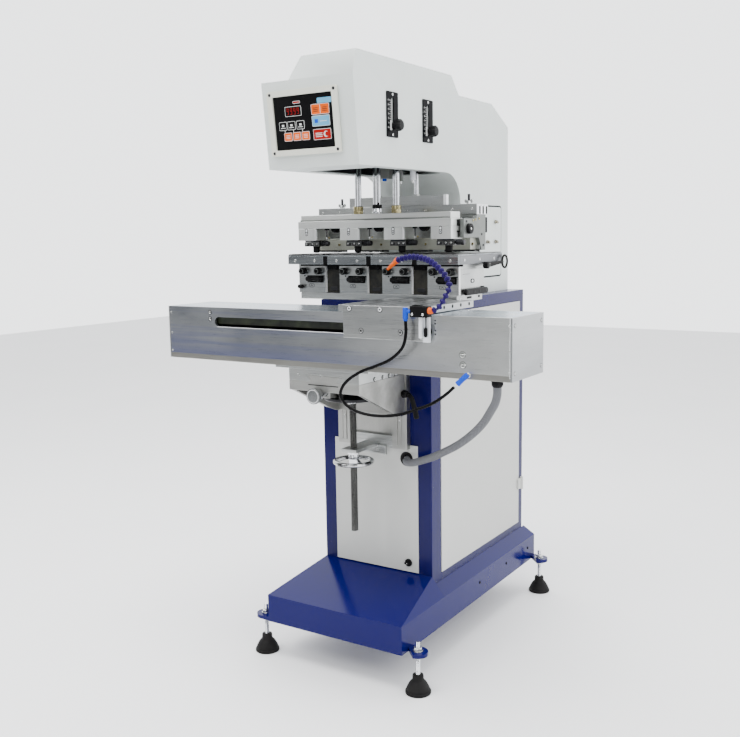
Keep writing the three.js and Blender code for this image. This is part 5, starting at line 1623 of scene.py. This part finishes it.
def add_head():
    head = Piece("head_casing").cad("head_shell", GREY_PAINT, 3.2, 4)
    head.done("frame", "grey_paint", ["head_shell"])
    inner = Piece("head_inner_parts")
    for x in (-112, 112):
        inner.block((x - 3, -300, HEAD_UNDER - 1), (x + 3, 20, HEAD_UNDER + 24), DARK_STEEL, 0.6)
    for x, y in ((-40, -74), (36, -70), (84, -84)):
        inner.bar((x, y, 1330), (x, y, 1378), 7.5, WHITE_FITTING if x > 50 else SATIN_METAL, 0.8,
                  28)
        inner.bar((x, y, 1322), (x, y, 1331), 3.4, ZINC, 0.5, 20)
    inner.block((-30, -96, 1338), (14, -60, 1378), SATIN_METAL, 1)
    inner.bar((-8, -84, 1331), (-8, -84, 1339), 6, BLUE_FITTING, 1, 24)
    inner.done("ink_slide", "steel")


PANEL_X, PANEL_Z, PANEL_WIDTH, PANEL_HEIGHT = -12, 1461, 212, 158
PANEL_SCREEN, KEY_PROUD = 3, 0.5
HEAD_FRONT, HEAD_LEAN = -436, 23


def panel_lean():
    """The place and the lean of the panel's own axes on the head's sloping front."""
    rise = HEAD_SHOULDER - HEAD_UNDER + 2
    angle = math.atan2(HEAD_LEAN, rise)
    face = HEAD_FRONT - HEAD_LEAN * (PANEL_Z - HEAD_UNDER + 2) / rise - 2 * GAP
    return Matrix.Translation((PANEL_X, face, PANEL_Z)) @ Matrix.Rotation(angle, 4, "X")


def add_bezel():
    """The cream frame of the control panel, with a screw in each corner."""
    width, height, deep, screen = PANEL_WIDTH, PANEL_HEIGHT, 8, PANEL_SCREEN
    bezel = Piece("control_bezel", panel_lean())
    outer = rounded(-width / 2, width / 2, -height / 2, height / 2, 6, 6)
    pocket = rounded(-width / 2 + 16, width / 2 - 16, -height / 2 + 14, height / 2 - 14, 3, 5)
    bezel.prism("y", outer, -deep, -screen + 0.1, CREAM_PLASTIC, 1.5, 3, holes=[pocket])
    bezel.block((-width / 2 + 1, -screen, -height / 2 + 1), (width / 2 - 1, 0, height / 2 - 1),
                CREAM_PLASTIC, 0.5)
    for x in (-1, 1):
        for z in (-1, 1):
            bezel.flat_screw((x * (width / 2 - 9), -deep, z * (height / 2 - 8)), -Y, DARK_STEEL,
                             4.0, 1.0)
    bezel.done("frame", "black_plastic", ["control_panel"])


def add_membrane():
    """The black membrane in the bezel, with its generic keys and display."""
    keys = Piece("control_membrane", panel_lean())
    half_u, half_v, face = PANEL_WIDTH / 2 - 16.4, PANEL_HEIGHT / 2 - 14.4, -PANEL_SCREEN - 1.2
    keys.block((-half_u, face, -half_v), (half_u, -PANEL_SCREEN, half_v), BLACK_GLOSS, 0.2)

    def key(u0, u1, v0, v1, look, rim=PALE_PRINT):
        """One key between shares of the membrane's width and height, with its rim."""
        x0, x1 = -half_u + 2 * half_u * u0, -half_u + 2 * half_u * u1
        z1, z0 = half_v - 2 * half_v * v0, half_v - 2 * half_v * v1
        keys.prism("y", rounded(x0, x1, z0, z1, 2.6, 5), face - 0.25, face, rim, 0.1, 1)
        keys.prism("y", rounded(x0 + 1, x1 - 1, z0 + 1, z1 - 1, 2.0, 5), face - KEY_PROUD,
                   face - 0.2, look, 0.2, 2)
        return x0, x1, z0, z1, face - KEY_PROUD

    def stroke(x0, x1, z0, z1, level, look=PALE_PRINT):
        keys.block((x0, level - 0.12, z0), (x1, level, z1), look, 0)

    def lines(x0, x1, z, step, thick, level, look=PALE_PRINT):
        for i in range(3):
            stroke(x0, x1, z + step * i, z + thick + step * i, level, look)

    key(0.19, 0.47, 0.195, 0.38, BLACK_GLOSS)
    *_, level = key(0.335, 0.46, 0.105, 0.15, RED_KEY)
    for i in range(4):
        u = -half_u + 2 * half_u * (0.225 + 0.058 * i)
        z = half_v - 2 * half_v * 0.345
        for dx, dz, w, h in ((0, 0, 5.4, 1.1), (0, 7, 5.4, 1.1), (0, 14, 5.4, 1.1),
                             (4.4, 0, 1.1, 15), (0, 7, 1.1, 8)):
            stroke(u + dx, u + dx + w, z + dz, z + dz + h, level + 0.1, RED_KEY)
    for u in (0.07, 0.215, 0.37):
        x0, x1, z0, z1, level = key(u, u + 0.135, 0.47, 0.63, BLACK_GLOSS)
        stroke(x0 + 5, x1 - 5, z0 + 5, z0 + 6.5, level)
        stroke((x0 + x1) / 2 - 3.5, (x0 + x1) / 2 + 3.5, z0 + 9, z0 + 14, level)
        stroke((x0 + x1) / 2 + 4, (x0 + x1) / 2 + 5.5, z0 - 5, z0, level + 0.4)
    for u in (0.144, 0.296, 0.445):
        x0, x1, z0, z1, level = key(u, u + 0.135, 0.677, 0.838, ORANGE)
        lines(x0 + 6, x1 - 6, z0 + 6, 3.6, 1.2, level)
    key(0.745, 0.985, 0.09, 0.19, LIGHT_BLUE_KEY, LIGHT_BLUE_KEY)
    x0, x1, z0, z1, level = key(0.637, 0.938, 0.197, 0.39, ORANGE)
    stroke((x0 + x1) / 2 - 0.6, (x0 + x1) / 2 + 0.6, z0 + 2, z1 - 2, level)
    for share in (0.25, 0.75):
        middle = x0 + (x1 - x0) * share
        lines(middle - 7, middle + 7, z0 + 7, 4, 1.6, level, DARK_STEEL)
    x0, x1, z0, z1, level = key(0.638, 0.935, 0.41, 0.605, LIGHT_BLUE_KEY)
    stroke(x0 + 8, x0 + 18, z0 + 8, z0 + 17, level, BLUE_FITTING)
    stroke(x0 + 24, x0 + 44, z0 + 11, z0 + 12.4, level)
    x0, x1, z0, z1, level = key(0.643, 0.94, 0.655, 0.855, RED_KEY)
    middle = (x1 - 15, (z0 + z1) / 2)
    keys.prism("y", disc_outline(*middle, 7.2), level - 0.15, level, PALE_PRINT, 0)
    keys.prism("y", disc_outline(middle[0] + 2.8, middle[1], 5.6), level - 0.3, level, RED_KEY, 0)
    lines(x0 + 7, x0 + 27, z0 + 7, 4, 1.6, level)
    keys.done("frame", "black_plastic")


def numeral(piece, text, at, size, look):
    """A plain scale numeral that faces +X."""
    curve = bpy.data.curves.new("numeral", "FONT")
    curve.body, curve.size, curve.extrude = text, size, 0.06
    curve.align_x, curve.align_y = "CENTER", "CENTER"
    holder = bpy.data.objects.new("numeral", curve)
    mesh = holder.to_mesh()
    part = bmesh.new()
    part.from_mesh(mesh)
    holder.to_mesh_clear()
    turn = Matrix((Y, Z, X)).transposed()
    for v in part.verts:
        v.co = Vector(at) + turn @ v.co
    piece.absorb(part, look)
    bpy.data.objects.remove(holder)
    bpy.data.curves.remove(curve)


def add_scale(name, y):
    """A stroke scale on the head's side with its slot, marks and lobed knob."""
    low, high = node_box(f"stroke_scale_{name}")
    slot = rounded(y - 5, y + 5, KNOB_Z - 12, 1524, 4.5, 6)
    plate = Piece(f"scale_plate_{name}")
    plate.prism("x", rounded(low.y, high.y, low.z, high.z, 3, 5), low.x, high.x, SCALE_BLACK, 0.5,
                2, holes=[slot])
    face = high.x
    for i in range(SCALE_MARKS):
        z = SCALE_START + SCALE_STEP * i
        wide = 9 if i % 2 == 0 else 5.5
        plate.block((face, y - 8 - wide, z - 0.45), (face + 0.12, y - 8, z + 0.45), PALE_PRINT, 0)
        if i % 2 == 0:
            numeral(plate, str(i // 2), (face + 0.05, y - 21.5, z), 6.4, PALE_PRINT)
    plate.block((face, y - 6.6, 1446), (face + 0.12, y - 5.6, 1520), PALE_PRINT, 0)
    for z in (low.z + 6.5, high.z - 6.5):
        plate.flat_screw((face, y, z), X, ZINC, 3.6, 1.4)
    plate.done("frame", "black_plastic", [f"stroke_scale_{name}"])
    knob = Piece(f"stroke_grip_{name}")
    start = HEAD_HALF + 2 * GAP + 3
    knob.bar((HEAD_HALF - 11, y, KNOB_Z), (start + 1, y, KNOB_Z), 4, STEEL, 0.5, 28)
    lobed = ridges(8, 0.12)
    knob.turned([
        (0, 0), (8, 0), (8, 7), (12, 7.6), (14.6, 9, lobed), (15, 11, lobed), (15, 21, lobed),
        (14.2, 24, lobed), (11.5, 26), (0, 26.2),
    ], (start, y, KNOB_Z), X, BLACK_PLASTIC, 96)
    knob.block((start, y - 14, KNOB_Z - 12), (start + 1.4, y - 6.8, KNOB_Z + 12), PALE_PRINT, 0.4)
    knob.block((start, y - 8, KNOB_Z - 4), (start + 1.4, y + 3, KNOB_Z + 4), PALE_PRINT, 0.3)
    knob.done(f"stroke_{name}", "black_plastic", [f"stroke_knob_{name}"])


WING_EAR = ((2, -2.4), (9, -5.6), (13, -4), (12.4, 1.4), (8, 2.2), (2, 2.4))


def add_side_cover():
    """The cover plate on the head's side with its three wing screws."""
    face = HEAD_HALF + GAP
    # The seam round the cover is a thin sheet of painted shade.
    seam = Piece("cover_seam")
    seam.prism("x", rounded(215.4, 376.8, 1047.2, 1266.8, 10.4, 6), HEAD_HALF + 0.05,
               HEAD_HALF + 0.8, PAINTED_SHADE_BLACK, 0)
    seam.done("frame", "black_plastic")
    cover = Piece("side_cover_plate")
    cover.prism("x", rounded(220, 372, 1052, 1262, 8, 6), face + 0.25, face + 2, GREY_PAINT, 0.6, 2)
    for y, z in ((330, 1217), (330, 1156), (270, 1156)):
        cover.turned([(0, 0), (6, 0), (6, 1), (4.6, 1.4), (4.6, 6), (3.6, 8), (0, 8.4)],
                     (face + 2, y, z), X, WING_METAL, 32)
        for side in (-1, 1):
            ear = [(y + side * u, z + v) for u, v in WING_EAR]
            cover.prism("x", ear[::side], face + 5, face + 8, WING_METAL, 0.8, 2)
    cover.done("frame", "grey_paint", ["side_cover"])


add_bed()
add_bed_guards()
add_bed_details()
for index, middle_x in enumerate(BED_CENTRES, start=1):
    add_register_parts(index, middle_x)
add_tray()
for index, station_x in enumerate(STATIONS, start=1):
    add_plate(index, station_x)
    add_pad(index, station_x)
add_levers()
add_pad_bar()
add_pad_bar_studs()
add_ink_frame()
add_ink_rods()
add_rods()
add_head()
add_bezel()
add_membrane()
for scale_name, scale_y in SCALE_PLACES:
    add_scale(scale_name, scale_y)
add_side_cover()
